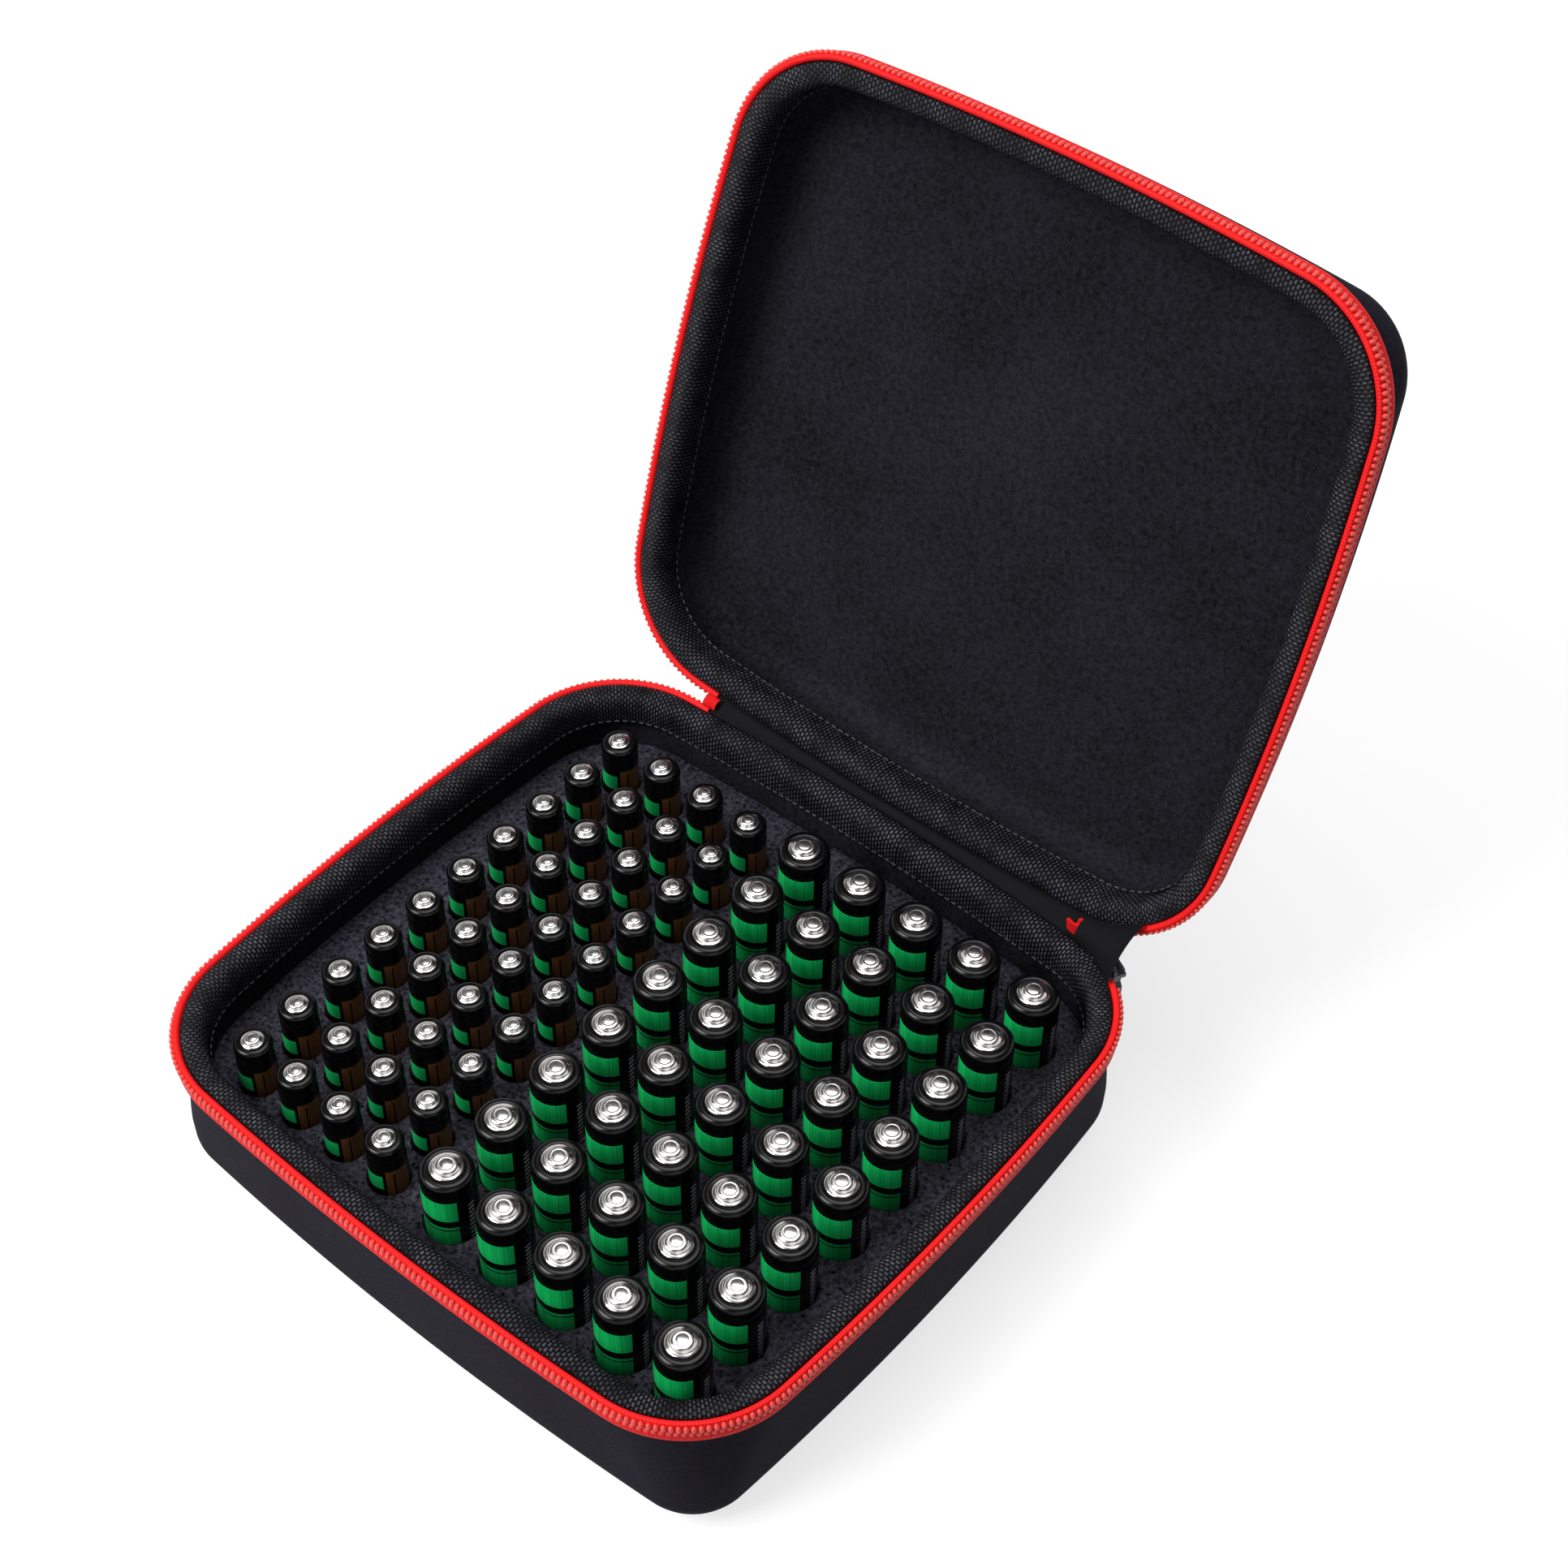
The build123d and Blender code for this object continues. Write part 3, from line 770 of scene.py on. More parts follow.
def rim_curve(stations, inset, depth, closed):
    """A curve along the rim at one inset and depth."""
    curve = bpy.data.curves.new("rim_curve", "CURVE")
    curve.dimensions = "3D"
    spline = curve.splines.new("POLY")
    spline.points.add(len(stations) - 1)
    spline.use_cyclic_u = closed
    for point, (x, y, nx, ny, _) in zip(spline.points, stations):
        point.co = (x - nx * inset, y - ny * inset, depth, 1)
    return bpy.data.objects.new("rim_curve", curve)


def bead(name, reach_x, reach_y, reach_z):
    """A small rounded lump with few faces, to be placed many times."""
    mesh = bpy.data.meshes.new(name)
    edit = bmesh.new()
    bmesh.ops.create_uvsphere(edit, u_segments=8, v_segments=6, radius=1.0)
    for vertex in edit.verts:
        vertex.co = (vertex.co.z * reach_x, vertex.co.x * reach_y, vertex.co.y * reach_z)
    edit.to_mesh(mesh)
    edit.free()
    return linked(name, mesh)


def lathe(name, profile, sides, phase, top):
    """A turned shape from radius and height; its map holds turns, and drop below top in tenths of a metre."""
    points, rings = [], []
    for radius, height in profile:
        count = 1 if radius == 0 else sides
        rings.append(range(len(points), len(points) + count))
        for k in range(count):
            angle = phase + 2 * math.pi * k / sides
            points.append((radius * math.cos(angle), radius * math.sin(angle), height))
    faces, spots = [], []
    for i in range(len(rings) - 1):
        for k in range(sides):
            corners = [(i, k), (i, k + 1), (i + 1, k + 1), (i + 1, k)]
            if len(rings[i]) == 1:
                del corners[1]
            elif len(rings[i + 1]) == 1:
                del corners[2]
            faces.append([rings[ring][step % len(rings[ring])] for ring, step in corners])
            spots += [(step / sides - 0.5, (top - profile[ring][1]) * 10) for ring, step in corners]
    mesh = bpy.data.meshes.new(name)
    mesh.from_pydata(points, [], faces)
    layer = mesh.uv_layers.new(name="UVMap")
    layer.data.foreach_set("uv", np.array(spots, np.float32).ravel())
    return linked(name, mesh)


def rounded_wall(inset, rim, height, radius, slope):
    """A drafted wall from the rim down to a rounded bottom edge."""
    tilt = math.atan(slope)
    middle, depth = inset + (height - radius - rim) * slope + radius / math.cos(tilt), height - radius
    turns = np.linspace(tilt, math.pi / 2, EDGE_STEPS)
    return [(inset, rim), *((middle - radius * math.cos(a), depth + radius * math.sin(a)) for a in turns)]


def chamfered_wall(inset, rim, height, chamfer, slope):
    """A drafted wall from the rim down to a chamfered bottom edge."""
    low = height - chamfer
    corner = (inset + (low - rim) * slope, low)
    return [(inset, rim), corner, (inset + (height - rim) * slope + chamfer, height)]


def eased(points, reach):
    """A profile with its inner corners rounded; reach is how far from a corner the rounding starts."""
    points = [np.array(p) for p in points]
    out = [points[0]]
    for before, corner, after in zip(points, points[1:], points[2:]):
        first = corner + (before - corner) / np.linalg.norm(before - corner) * reach
        last = corner + (after - corner) / np.linalg.norm(after - corner) * reach
        for u in np.linspace(0, 1, EASE_STEPS):
            out.append(first * (1 - u) ** 2 + corner * 2 * u * (1 - u) + last * u * u)
    return [tuple(p) for p in [*out, points[-1]]]


class CASE_OT_shells(Operator):
    """Make the two cloth-covered moulded shells"""

    bl_idname = "battery_case.shells"
    bl_label = "Shells"

    def execute(self, context):
        s = sizes()
        slope = math.tan(s.draft)
        path = RimPath(s)
        ring = path.ring(SHELL_STEPS)
        moves = path.sharpening(ring)
        halves = (("base", s.base_height, s.base_fuller), ("lid", s.lid_height, s.lid_fuller))
        for half, height, fuller in halves:
            inner = chamfered_wall(s.wall, s.rim, height - s.wall, s.inner_chamfer, slope)
            start, *edge = np.array(rounded_wall(0, s.rim, height, s.edge, slope))
            outside = np.array([start, *(start + (edge[0] - start) * share for share in WALL_SHARES), *edge])
            grown = np.clip((outside[:, 1] - s.fuller_from) / (height - s.edge - s.fuller_from), 0, 1)
            grown = grown * grown * (3 - 2 * grown) * fuller
            grown = np.minimum(grown, MOST_TIGHTENED * (s.corner - outside[:, 0]))
            shrink = np.append(np.zeros(len(inner)), grown)
            shell = sweep(
                f"{half}_moulded_shell", ring, np.vstack((inner[::-1], outside)), half,
                finish_of(woven_shell_cloth), shift=moves[:, None, :] * shrink[None, :, None],
            )
            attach(shell, half)
            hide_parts(f"{half}_shell")
        return {"FINISHED"}


class CASE_OT_linings(Operator):
    """Make the knitted linings inside the two halves"""

    bl_idname = "battery_case.linings"
    bl_label = "Linings"

    def execute(self, context):
        s = sizes()
        slope = math.tan(s.draft)
        ring = RimPath(s).ring(SHELL_STEPS)
        outside = s.wall + s.layer_gap
        for half, height in (("base", s.base_height), ("lid", s.lid_height)):
            low = height - outside
            outer = chamfered_wall(outside, s.rim, low, s.inner_chamfer, slope)
            inner = chamfered_wall(outside + s.lining, s.rim, low - s.lining, s.inner_chamfer, slope)
            inner = eased([*inner, (inner[-1][0] + s.inner_chamfer, inner[-1][1])], s.lining_round)
            profile = outer[::-1] + inner
            lining = sweep(f"{half}_knit_lining", ring, profile, half, finish_of(knit_lining_cloth))
            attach(lining, half)
            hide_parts(f"{half}_lining")
        return {"FINISHED"}


def binding_profile(s, swell=0.0):
    """Section of the rolled binding: over the rim, round the inner edge and down the lining.

    Swell is how far it stands out from its middle, for a second layer over the first.
    """
    out = [
        (0.62, 2.12), (0.16, 1.75), (0.05, 1.2), (0.38, 0.66), (1.1, 0.38), (2.2, 0.26), (3.4, 0.3),
        (4.5, 0.62), (5.45, 1.3), (6.1, 2.3), (6.45, 3.5), (6.55, 4.8), (6.5, 6.2), (6.4, 7.6),
        (6.34, 8.9), (6.2, 9.9), (5.8, 10.5), (5.2, 10.55),
    ]
    back = [(4.7, 9.6), (4.5, 6.0), (4.45, 3.0), (3.9, 2.3), (2.0, 2.12)]
    profile = np.array(out + back) * MM
    profile[:, 0] += np.maximum(profile[:, 1] - s.rim, 0) * math.tan(s.draft)
    away = profile - profile[:len(out)].mean(axis=0)
    return profile + away / np.linalg.norm(away, axis=1, keepdims=True) * swell


class CASE_OT_bindings(Operator):
    """Make the ribbed binding tape rolled over both rims, with the overlap where its ends meet"""

    bl_idname = "battery_case.bindings"
    bl_label = "Bindings"

    def execute(self, context):
        s, t = sizes(), trim()
        path = RimPath(s)
        spacing = rib_spacing()
        ring = path.ring(round(path.total / spacing) * RIB_STEPS)
        for half, shift in (("base", 0.0), ("lid", t.lap_shift)):
            middle = path.back_at(t.lap_at) + shift
            lap = path.stations(middle - t.lap_reach, middle + t.lap_reach, LAP_STEPS)
            for name, run, swell in (("ribbed_binding", ring, 0.0), ("binding_overlap", lap, t.lap_swell)):
                tape = sweep(
                    f"{half}_{name}", run, binding_profile(s, swell), half, finish_of(ribbed_binding_tape),
                    closed_profile=True, open_path=run is lap,
                    lift=np.cos(2 * math.pi * run[:, 4:] / spacing) * t.rib_height / 2,
                )
                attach(tape, half)
                if run is ring:
                    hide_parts(f"{half}_binding")
        return {"FINISHED"}


class CASE_OT_stitches(Operator):
    """Sew the binding down with a row of stitches round each half"""

    bl_idname = "battery_case.stitches"
    bl_label = "Stitches"

    def execute(self, context):
        s, t = sizes(), trim()
        ring = RimPath(s).ring(STITCH_STEPS)
        inset = t.stitch_inset + (t.stitch_depth - s.rim) * math.tan(s.draft)
        stitch = bead("stitch_shape", t.stitch_length / 2, t.stitch_radius, t.stitch_radius)
        tree = along_path_tree()
        values = {"Shape": stitch, "Pitch": t.stitch_pitch, "Material": finish_of(sewing_thread)}
        for half in ("base", "lid"):
            curve = rim_curve(ring, inset, t.stitch_depth, True)
            mesh = grown_mesh(f"{half}_binding_stitches", curve, tree, values)
            row = make_object(mesh.name, placed_mesh(mesh, half))
            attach(row, half)
        bpy.data.objects.remove(stitch)
        return {"FINISHED"}


class CASE_OT_zips(Operator):
    """Make the red zip: a knitted tape round each half, its nylon loops and the row that sews them on"""

    bl_idname = "battery_case.zips"
    bl_label = "Zip"

    def execute(self, context):
        s, t = sizes(), trim()
        path = RimPath(s)
        tape = np.array([
            (0.42, 8.7), (0.2, 5.0), (0.0, 2.8), (-0.08, 1.7), (-0.4, 0.95), (-0.9, 0.55), (-1.4, 0.48),
            (-1.8, 0.72), (-1.92, 1.4), (-1.92, 3.0), (-1.95, 3.5), (-2.1, 4.1), (-2.3, 5.0), (-2.4, 5.9),
            (-2.3, 6.8), (-1.95, 7.6), (-1.3, 8.3), (-0.5, 8.72),
        ]) * MM
        loop = bead("zip_loop_shape", 0.66 * MM, 0.7 * MM, 1.2 * MM)
        seam = bead("zip_seam_shape", 0.62 * MM, 0.5 * MM, 0.85 * MM)
        tree = along_path_tree()
        for half, right in (("base", t.zip_right), ("lid", t.lid_zip_right)):
            start, end = path.back_at(t.zip_left), path.back_at(right) + path.total
            run = path.stations(start, end, ZIP_STEPS)
            teeth = path.stations(start + t.toothless, end - t.toothless, ZIP_STEPS)
            band = sweep(
                f"{half}_knit_zip_tape", run, tape, half, finish_of(knitted_zip_tape),
                closed_profile=True, open_path=True,
            )
            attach(band, half)
            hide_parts(f"{half}_zip_tape")
            for name, shape, inset, depth in (
                ("zip_loops", loop, t.loop_inset, t.loop_depth),
                ("zip_seam", seam, t.seam_inset, t.seam_depth),
            ):
                values = {"Shape": shape, "Pitch": t.tooth_pitch, "Material": finish_of(nylon_zip_loops)}
                mesh = grown_mesh(f"{half}_{name}", rim_curve(teeth, inset, depth, False), tree, values)
                row = make_object(mesh.name, placed_mesh(mesh, half))
                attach(row, half)
                if shape is loop:
                    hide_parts(f"{half}_zip_coil")
        for shape in (loop, seam):
            bpy.data.objects.remove(shape)
        return {"FINISHED"}


def cloth_mesh(name, inner, outer):
    """A thin closed sheet between two grids of points."""
    n, m = inner.shape[:2]
    faces = []
    for i in range(n):
        for j in range(m):
            a, b = i * m + j, n * m + i * m + j
            if i < n - 1 and j < m - 1:
                faces += [(a, a + m, a + m + 1, a + 1), (b, b + 1, b + m + 1, b + m)]
            if i < n - 1 and j in (0, m - 1):
                faces.append((a, a + m, b + m, b))
            if j < m - 1 and i in (0, n - 1):
                faces.append((a, a + 1, b + 1, b))
    mesh = bpy.data.meshes.new(name)
    mesh.from_pydata(np.vstack((inner.reshape(-1, 3), outer.reshape(-1, 3))).tolist(), [], faces)
    return mesh


def cloth_measures(grid):
    """The longest row of a grid of cloth, and its area."""
    longest = float(np.linalg.norm(np.diff(grid, axis=1), axis=2).sum(axis=1).max())
    sides = np.diff(grid, axis=0)[:, :-1], np.diff(grid, axis=1)[:-1]
    return longest, float(np.linalg.norm(np.cross(*sides), axis=2).sum())


class CASE_OT_hinge(Operator):
    """Make the cloth hinge tape that is sewn to the backs of both halves"""

    bl_idname = "battery_case.hinge"
    bl_label = "Hinge tape"

    def execute(self, context):
        s, t = sizes(), trim()
        path = RimPath(s)
        off, thick, slack = 0.2 * MM, 0.9 * MM, 0.1 * MM
        lap = np.linspace(9.0 * MM, 2.4 * MM, 6)
        rows = []
        for x in np.linspace(t.hinge_left, t.hinge_right, HINGE_STEPS):
            y = path.at(path.back_at(x))[1]
            flat = np.array([(x, y + off, depth) for depth in lap])
            base, lid = place(flat, "base"), place(flat, "lid")[::-1]
            first, last = base[-1], lid[0]
            middle = np.array((x, s.hinge_y - slack, s.base_height + slack))
            handle = 2 * middle - (first + last) / 2
            bend = [
                first * (1 - u) ** 2 + handle * 2 * u * (1 - u) + last * u * u
                for u in np.linspace(0, 1, BEND_STEPS)[1:-1]
            ]
            rows.append(np.vstack((base, bend, lid)))
        grid = np.array(rows)
        along = np.gradient(grid, axis=1)
        normal = np.stack((np.zeros(grid.shape[:2]), along[:, :, 2], -along[:, :, 1]), axis=2)
        normal /= np.linalg.norm(normal, axis=2, keepdims=True)
        mesh = cloth_mesh("hinge_cloth_tape", grid, grid + normal * thick)
        tape = make_object(mesh.name, mesh, finish_of(hinge_cloth))
        reach, cut = cloth_measures(grid)
        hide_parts("hinge_tape")
        seam = np.array([(0, s.depth / 2, 3.0 * MM)])
        low, high = (tuple(place(seam, half)[0]) for half in ("base", "lid"))
        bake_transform(tape)
        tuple(low)
        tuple(high)
        fans = (
            ("hinge_corner_gusset", (71.0, 87.0), -0.3, hinge_cloth, "hinge_cloth"),
            ("zip_end_web", (-59.0, -63.5), 1.3, knitted_zip_tape, "zip_tape"),
        )
        for name, ends, off, finish, slot in fans:
            self.gusset(s, path, name, ends, off, finish_of(finish), slot)
        return {"FINISHED"}

    def gusset(self, s, path, name, ends, off, material, slot):
        """A small fan of cloth closes the fold beyond an end of the tape, between the two rims.

        Ends are places along the hinge, and off is how far outside the rim it starts, all in mm.
        """
        steps, columns, thick = 13, np.linspace(*ends, 16) * MM, 0.4 * MM
        points = []
        for side in (0, thick):
            for x in columns:
                reach = s.hinge_y - path.at(path.back_at(x))[1] - off * MM + side
                far = (x - columns[0]) / (columns[-1] - columns[0])
                bulge = 0.12 - 0.24 * far  # out at its first end, in at its last
                for u in np.linspace(0, 1, steps):
                    turn = s.open_angle * u
                    out = reach * (1 + bulge * math.sin(math.pi * u))
                    points.append((x, s.hinge_y - out * math.cos(turn), s.base_height + out * math.sin(turn)))
        inner, outer = np.array(points).reshape(2, len(columns), steps, 3)
        mesh = cloth_mesh(name, inner, outer)
        mesh.uv_layers.new(name="UVMap")
        fan = make_object(name, mesh, material)
        across, cut = cloth_measures(inner)
        wide = float(np.linalg.norm(np.diff(inner[:, steps // 2], axis=0), axis=1).sum())
        middle = inner[len(columns) // 2]
        low, high = tuple(middle[0]), tuple(middle[-1])
        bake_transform(fan)
        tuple(low)
        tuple(high)


class CASE_OT_slider(Operator):
    """Finish the zip slider and its pull, and tuck in the curled end of the zip tape"""

    bl_idname = "battery_case.slider"
    bl_label = "Slider and tape end"

    def execute(self, context):
        for node in ("zip_slider", "slider_pull"):
            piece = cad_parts[node]
            piece.data.materials.clear()
            piece.data.materials.append(finish_of(enamelled_zinc))
        low, high = (Vector(corner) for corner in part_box("zip_tape_tail"))
        shift = Vector((2.0, 0, 0.3)) * MM
        middle = (low + high) / 2 + shift
        line = [
            (-3.0, 0.3, 0.0), (-1.8, -0.3, 0.1), (-0.4, -0.6, 0.3), (0.9, -0.2, 0.7), (1.6, 0.5, 1.2),
            (1.3, 1.0, 1.7), (0.5, 0.9, 1.9), (-0.2, 0.5, 1.8),
        ]
        thick, tall = 0.45 * MM, 1.5 * MM
        points = []
        for i, (x, y, z) in enumerate(line):
            before, after = Vector(line[max(i - 1, 0)]), Vector(line[min(i + 1, len(line) - 1)])
            run = (after - before).normalized()
            side = Vector((run.y, -run.x, 0)).normalized() * thick
            spot = middle + Vector((x, y, z)) * MM
            lean = Vector((0.25 * (i - 3) / 4, 0.12, 1)).normalized() * tall
            points += [spot - side - lean, spot + side - lean, spot + side + lean, spot - side + lean]
        faces = [(0, 1, 2, 3), tuple(len(points) - k for k in (1, 2, 3, 4))]
        for i in range(len(line) - 1):
            for k in range(4):
                after = (k + 1) % 4
                faces.append((i * 4 + k, i * 4 + after, i * 4 + 4 + after, i * 4 + 4 + k))
        mesh = bpy.data.meshes.new("curled_tape_end")
        mesh.from_pydata([tuple(p) for p in points], [], faces)
        mesh.uv_layers.new(name="UVMap")
        tail = make_object(mesh.name, mesh, finish_of(knitted_zip_tape))
        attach(tail, "base")
        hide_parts("zip_tape_tail")
        return {"FINISHED"}


def cell_kinds():
    """Each kind of cell: the frame's name for it, its sleeve, the slot of its cans and its sizes."""
    c = cells()
    names = ("rows", "count", "pitch", "diameter", "band", "shoulder", "cap", "rise")
    for kind, size, sleeve, slot in (
        ("large", "aa", large_cell_sleeve, "large_cell_can"),
        ("small", "aaa", small_cell_sleeve, "small_cell_can"),
    ):
        yield size, sleeve, slot, {name: getattr(c, f"{kind}_{name}") for name in names}


def row_places(size, cell):
    """Each row of the frame: its body, the middle of its first cell, and the foot and top of its cans."""
    found = []
    for number in range(1, cell["rows"] + 1):
        low, high = (Vector(corner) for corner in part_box(f"{size}_row_{number}_cans"))
        middle = (low + high) / 2
        first = middle.y - cell["pitch"] * (cell["count"] - 1) / 2
        found.append((f"{size}_row_{number}", middle.x, first, low.z, high.z))
    return found


class CASE_OT_foam(Operator):
    """Cut the foam block with one round hole for every cell, and lay the floor pad under it"""

    bl_idname = "battery_case.foam"
    bl_label = "Foam"

    def execute(self, context):
        s, c = sizes(), cells()
        low, high = (Vector(corner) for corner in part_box("foam_block"))
        slope = math.tan(s.draft)
        inset = s.wall + s.lining + 2 * s.layer_gap
        ring = RimPath(s).ring(FOAM_STEPS)
        edit = bmesh.new()

        def loop(places):
            corners = [edit.verts.new(p) for p in places]
            return corners, [edit.edges.new((a, b)) for a, b in zip(corners, corners[1:] + corners[:1])]

        def wall(first, second):
            for i in range(len(first)):
                k = (i + 1) % len(first)
                edit.faces.new((first[i], first[k], second[k], second[i]))

        def edge_loop(z, extra):
            reach = inset + (s.base_height - z - s.rim) * slope + extra
            return loop([(x - nx * reach, y - ny * reach, z) for x, y, nx, ny, _ in ring])

        def hole_loop(x, y, z, radius):
            turns = [2 * math.pi * k / HOLE_SIDES for k in range(HOLE_SIDES)]
            return loop([(x + radius * math.cos(a), y + radius * math.sin(a), z) for a in turns])

        top, top_edges = edge_loop(high.z, c.foam_edge)
        shoulder, _ = edge_loop(high.z - c.foam_edge_drop, 0)
        waist, _ = edge_loop(low.z + c.foam_chamfer, 0)
        bottom, bottom_edges = edge_loop(low.z, c.foam_chamfer)
        for first, second in ((top, shoulder), (shoulder, waist), (waist, bottom)):
            wall(first, second)
        for size, _, _, cell in cell_kinds():
            radius = cell["diameter"] / 2 + c.hole_clearance
            for _, x, first_y, _, _ in row_places(size, cell):
                for k in range(cell["count"]):
                    y = first_y + k * cell["pitch"]
                    mouth, mouth_edges = hole_loop(x, y, high.z, radius + c.hole_lip)
                    throat, _ = hole_loop(x, y, high.z - c.hole_lip * 1.2, radius)
                    foot, foot_edges = hole_loop(x, y, low.z, radius)
                    wall(mouth, throat)
                    wall(throat, foot)
                    top_edges += mouth_edges
                    bottom_edges += foot_edges
        for edges in (top_edges, bottom_edges):
            bmesh.ops.triangle_fill(edit, use_beauty=True, use_dissolve=False, edges=edges)
        mesh = bpy.data.meshes.new("cut_foam_block")
        edit.to_mesh(mesh)
        edit.free()
        foam = make_object(mesh.name, mesh, finish_of(open_cell_foam))
        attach(foam, "base")
        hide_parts("foam_block")
        low, high = (s.base_height - corner[2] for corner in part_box("foam_floor_pad"))
        reach = inset + (high - s.rim) * slope
        side = ((5.2, low), (3.9, high + 0.5 * MM), (4.2, high))  # mm inside the lining's wall, and depth
        profile = [(reach + extra * MM, depth) for extra, depth in side]
        pad = sweep("foam_bottom_pad", ring, profile, "base", finish_of(open_cell_foam))
        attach(pad, "base")
        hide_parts("foam_floor_pad")
        return {"FINISHED"}


def can_profile(radius, height, shoulder, band):
    """A can in its sleeve: rolled foot, straight wall, groove under the top band, round shoulder."""
    foot = ((-1.6, 0.3), (-1.0, 0.0), (-0.3, 0.2), (0, 0.9))
    groove = ((0, -0.9), (-0.05, -0.5), (-0.32, -0.15), (-0.32, 0.15), (-0.06, 0.5), (0, 0.9))
    rounding = ((0, 1.25), (0.1, 0.75), (0.32, 0.36), (0.66, 0.1), (1.05, 0))
    rim = ((0.665, 0), (0.64, 0.12), (0.615, 0.3), (0, 0.3))
    return [
        (0, 0.3 * MM),
        *((radius + a * MM, b * MM) for a, b in foot),
        *((radius + a * MM, height - band + b * MM) for a, b in groove),
        *((radius - a * shoulder, height - b * shoulder) for a, b in rounding),
        *((radius * a, height - b * MM) for a, b in rim),
    ]


def cap_profile(radius, low, height):
    """A pressed terminal: flat flange, round step and domed button."""
    under = low - 0.2 * MM
    shares = (
        (1, 0.1), (0.95, 0.2), (0.84, 0.24), (0.78, 0.34), (0.73, 0.6), (0.66, 0.8), (0.56, 0.9),
        (0.44, 0.93), (0.4, 0.9), (0.36, 0.93), (0.22, 0.985), (0, 1),
    )
    return [(0, under), (radius, under), *((radius * a, low + height * b) for a, b in shares)]


class CASE_OT_cells(Operator):
    """Stand the large and the small cells in their rows, each with its sleeve and plated terminal"""

    bl_idname = "battery_case.cells"
    bl_label = "Cells"

    def execute(self, context):
        tree = cell_row_tree()
        facing = math.radians(39.0 - 90.0)  # the printed fronts face the camera
        for size, sleeve, slot, cell in cell_kinds():
            places = row_places(size, cell)
            height = places[0][4] - places[0][3]
            profile = can_profile(cell["diameter"] / 2, height, cell["shoulder"], cell["band"])
            can = lathe("can_shape", profile, CAN_SIDES, facing - math.pi, height)
            profile = cap_profile(cell["cap"], height, cell["rise"])
            button = lathe("cap_shape", profile, CAP_SIDES, facing, height + cell["rise"])
            for body, x, y, z, _ in places:
                for shape, kind, finish, material_slot in (
                    (can, "cans", sleeve, slot), (button, "caps", nickel_plate, "cell_cap"),
                ):
                    values = {
                        "Cell": shape, "Count": cell["count"], "First": (x, y, z),
                        "Step": (0, cell["pitch"], 0), "Material": finish_of(finish),
                    }
                    carrier = bpy.data.objects.new("row_carrier", bpy.data.meshes.new("row_carrier"))
                    mesh = grown_mesh(f"{body}_{kind}_dressed", carrier, tree, values)
                    row = make_object(mesh.name, mesh)
                    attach(row, body)
                    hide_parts(f"{body}_{kind}")
            for shape in (can, button):
                bpy.data.objects.remove(shape)
        return {"FINISHED"}


def pale_floor():
    """Matt white floor that shines where it is seen, more so away from the middle."""
    white = colours().floor
    material, tree, shader = new_material(
        "pale_floor", white, 0.9, Specular_IOR_Level=0.0, Emission_Color=(*white, 1)
    )
    ray = add_node(tree, "ShaderNodeLightPath")
    seen = ray.outputs["Is Camera Ray"]
    for kind in ("Is Glossy Ray", "Is Transmission Ray"):
        seen = add_node(tree, "ShaderNodeMath", {0: seen, 1: ray.outputs[kind]}, 0, operation="MAXIMUM")
    surface(tree, shader, seen, shade(white, 0.35), shade(white, 0.4))
    spot = add_node(tree, "ShaderNodeTexCoord", out="Object")
    away = add_node(tree, "ShaderNodeVectorMath", {0: spot}, "Value", operation="LENGTH")
    links = {"Value": away, "From Min": 0.3, "From Max": 1.0, "To Min": 0.76, "To Max": 1.0}
    glow = add_node(tree, "ShaderNodeMapRange", links, "Result")
    glow = add_node(tree, "ShaderNodeMath", {0: glow, 1: seen}, 0, operation="MULTIPLY")
    tree.links.new(glow, shader.inputs["Emission Strength"])
    return material


def studio_world():
    """A dim grey sky, darker overhead."""
    world = bpy.data.worlds.new("studio")
    world.use_nodes = True
    tree = world.node_tree
    spot = add_node(tree, "ShaderNodeTexCoord", out="Generated")
    split = add_node(tree, "ShaderNodeSeparateXYZ", {"Vector": spot})
    links = {"Value": split.outputs["Z"], "From Min": 0.25, "From Max": 0.7}
    height = add_node(tree, "ShaderNodeMapRange", links, "Result")
    links = {0: height, 6: (0.22, 0.22, 0.235, 1), 7: (0.1, 0.1, 0.11, 1)}
    sky = add_node(tree, "ShaderNodeMix", links, 2, data_type="RGBA")
    tree.links.new(sky, tree.nodes["Background"].inputs["Color"])
    return world


def area_light(name, spot, aim, size, power):
    """A soft square lamp at a place, aimed at another."""
    lamp = bpy.data.lights.new(name, "AREA")
    lamp.shape = "SQUARE"
    lamp.size = size
    lamp.energy = power
    made = linked(name, lamp)
    made.location = spot
    made.rotation_euler = (Vector(aim) - Vector(spot)).to_track_quat("-Z", "Y").to_euler()


def photo_camera():
    """The camera fitted to the grid of cells in the photo."""
    lens = bpy.data.cameras.new("photo_camera")
    lens.sensor_width = 36.0
    lens.lens = 66.18
    lens.clip_start, lens.clip_end = 0.01, 30
    camera = linked("photo_camera", lens)
    camera.location = (0.32748, -0.34442, 0.64709)
    azimuth, elevation, roll = (math.radians(a) for a in (39.3632, 46.9545, 0.8127))
    level = Vector((math.cos(azimuth), math.sin(azimuth), 0))
    back = Vector((
        math.sin(azimuth) * math.cos(elevation), -math.cos(azimuth) * math.cos(elevation), math.sin(elevation)
    ))
    right = level * math.cos(roll) + back.cross(level) * math.sin(roll)
    camera.rotation_euler = Matrix((right, back.cross(right), back)).transposed().to_euler()
    return camera


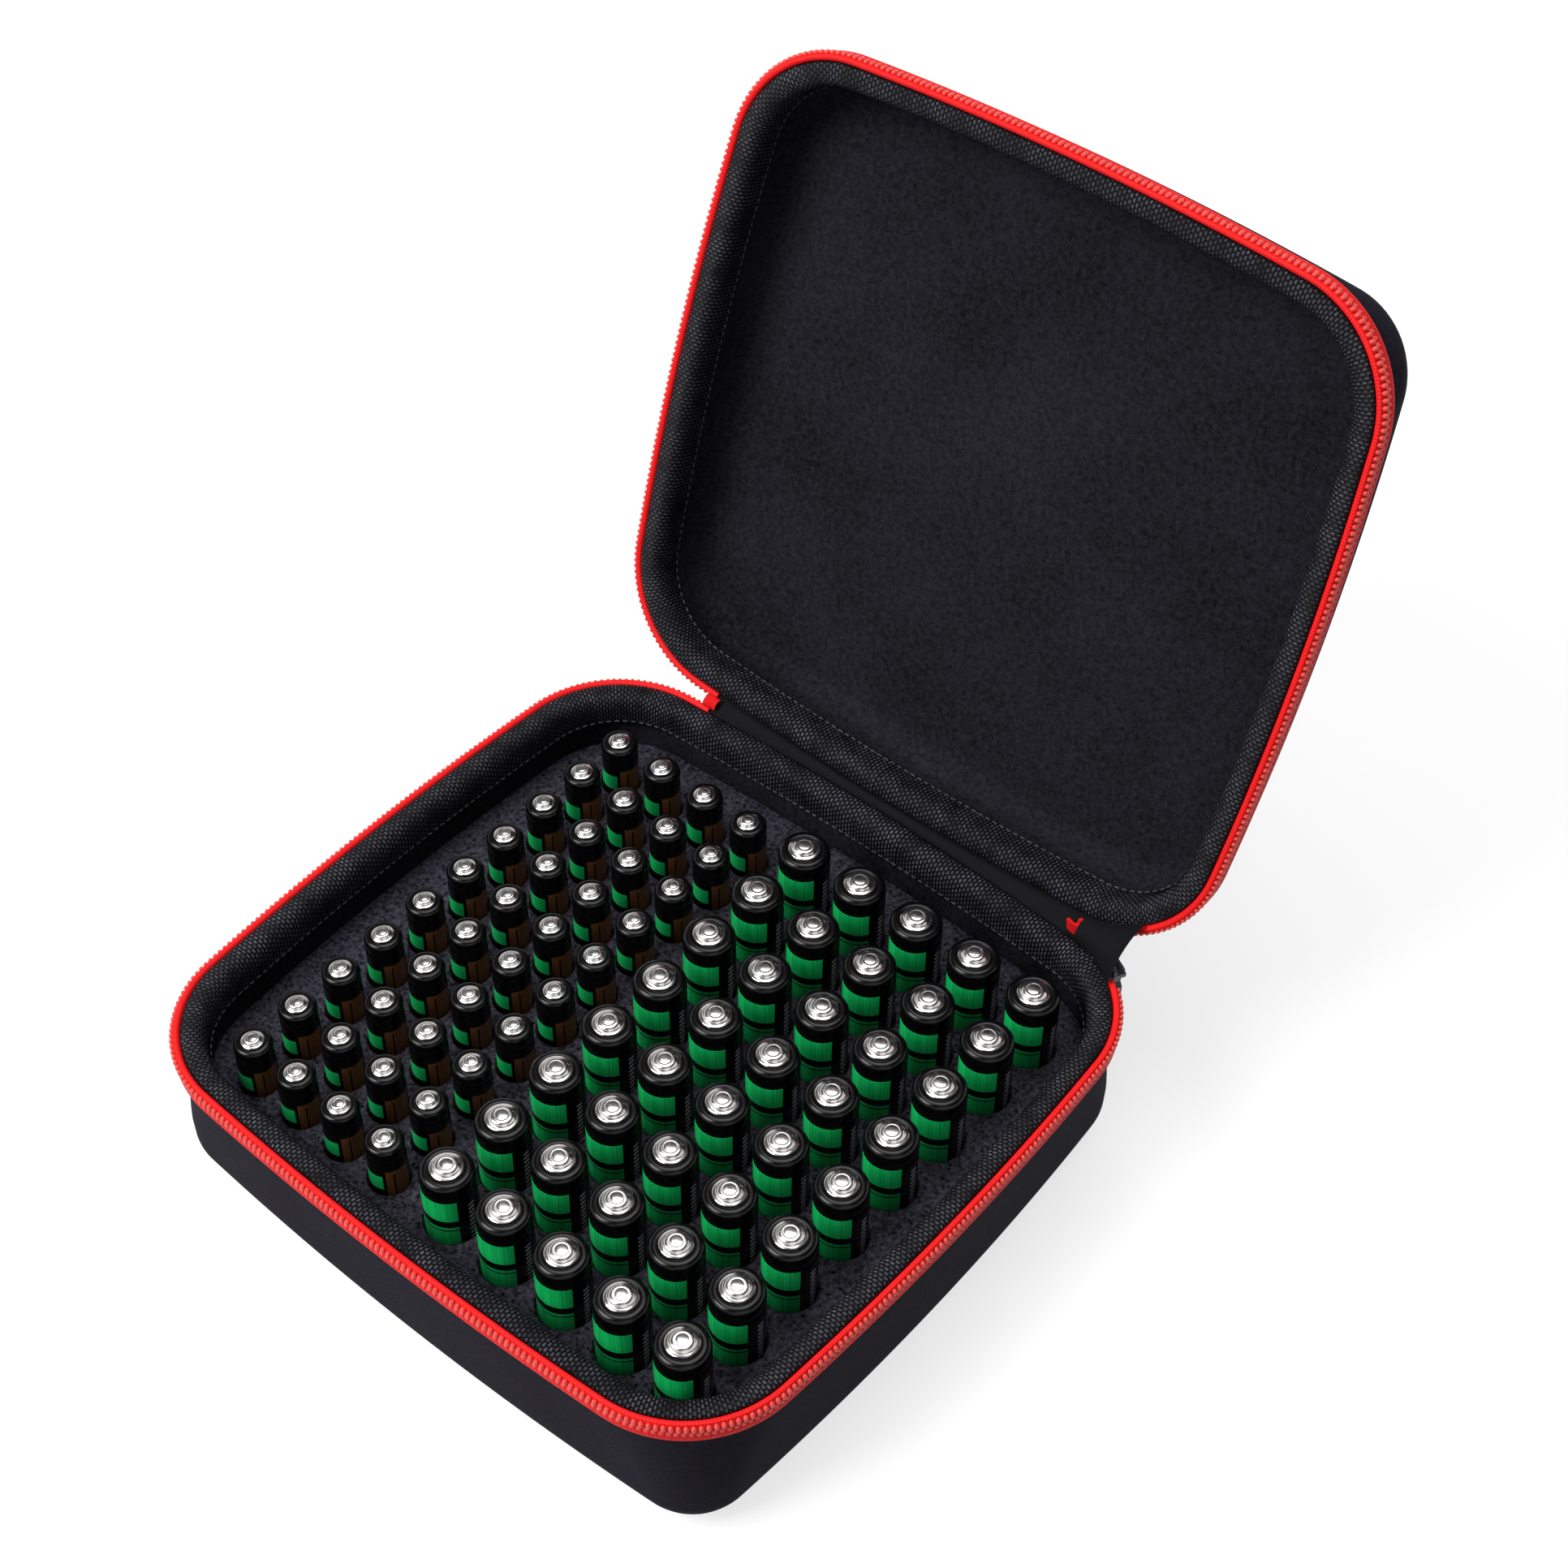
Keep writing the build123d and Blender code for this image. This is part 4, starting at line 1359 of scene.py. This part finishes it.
class CASE_OT_stage(Operator):
    """Set the pale floor, the soft studio light and the camera"""

    bl_idname = "battery_case.stage"
    bl_label = "Stage"

    def execute(self, context):
        scene = context.scene
        scene.view_settings.view_transform = "Standard"
        profile = [(radius, height - FLOOR_GAP) for radius, height in FLOOR_PROFILE]
        floor = lathe("floor", profile, FLOOR_SIDES, 0.0, 0.0)
        floor.data.polygons.foreach_set("use_smooth", [True] * len(floor.data.polygons))
        floor.data.materials.append(finish_of(pale_floor))
        scene.world = studio_world()
        area_light("key_light", (-0.55, -1.0, 1.2), (0, 0.02, 0.06), 0.9, 27.0)
        area_light("top_light", (-0.1, 0.25, 1.5), (0, 0.05, 0.05), 1.0, 13.0)
        area_light("fill_light", (0.95, -0.6, 0.8), (0, 0, 0.06), 0.8, 1.5)
        scene.camera = photo_camera()
        return {"FINISHED"}


STEPS = (
    CASE_OT_shells, CASE_OT_linings, CASE_OT_bindings, CASE_OT_stitches, CASE_OT_zips, CASE_OT_hinge,
    CASE_OT_slider, CASE_OT_foam, CASE_OT_cells, CASE_OT_stage,
)


class CASE_PT_panel(Panel):
    """Lists the steps that dress the battery case"""

    bl_idname = "CASE_PT_panel"
    bl_label = "Battery Case"
    bl_space_type = "VIEW_3D"
    bl_region_type = "UI"
    bl_category = "Case"

    def draw(self, context):
        for step in STEPS:
            self.layout.operator(step.bl_idname)


GROUPS = (
    ("case_sizes", CaseSizes), ("case_trim", TrimSizes), ("case_cells", CellSizes),
    ("case_colours", CaseColours),
)


def register():
    for _, group in GROUPS:
        bpy.utils.register_class(group)
    for step in STEPS:
        bpy.utils.register_class(step)
    bpy.utils.register_class(CASE_PT_panel)
    for name, group in GROUPS:
        setattr(bpy.types.Scene, name, PointerProperty(type=group))


def unregister():
    for name, _ in GROUPS:
        delattr(bpy.types.Scene, name)
    bpy.utils.unregister_class(CASE_PT_panel)
    for step in reversed(STEPS):
        bpy.utils.unregister_class(step)
    for _, group in reversed(GROUPS):
        bpy.utils.unregister_class(group)


def main():
    register()
    for step in STEPS:
        name = step.bl_idname.split(".")[1]
        getattr(bpy.ops.battery_case, name)()


if __name__ == "__main__":
    main()
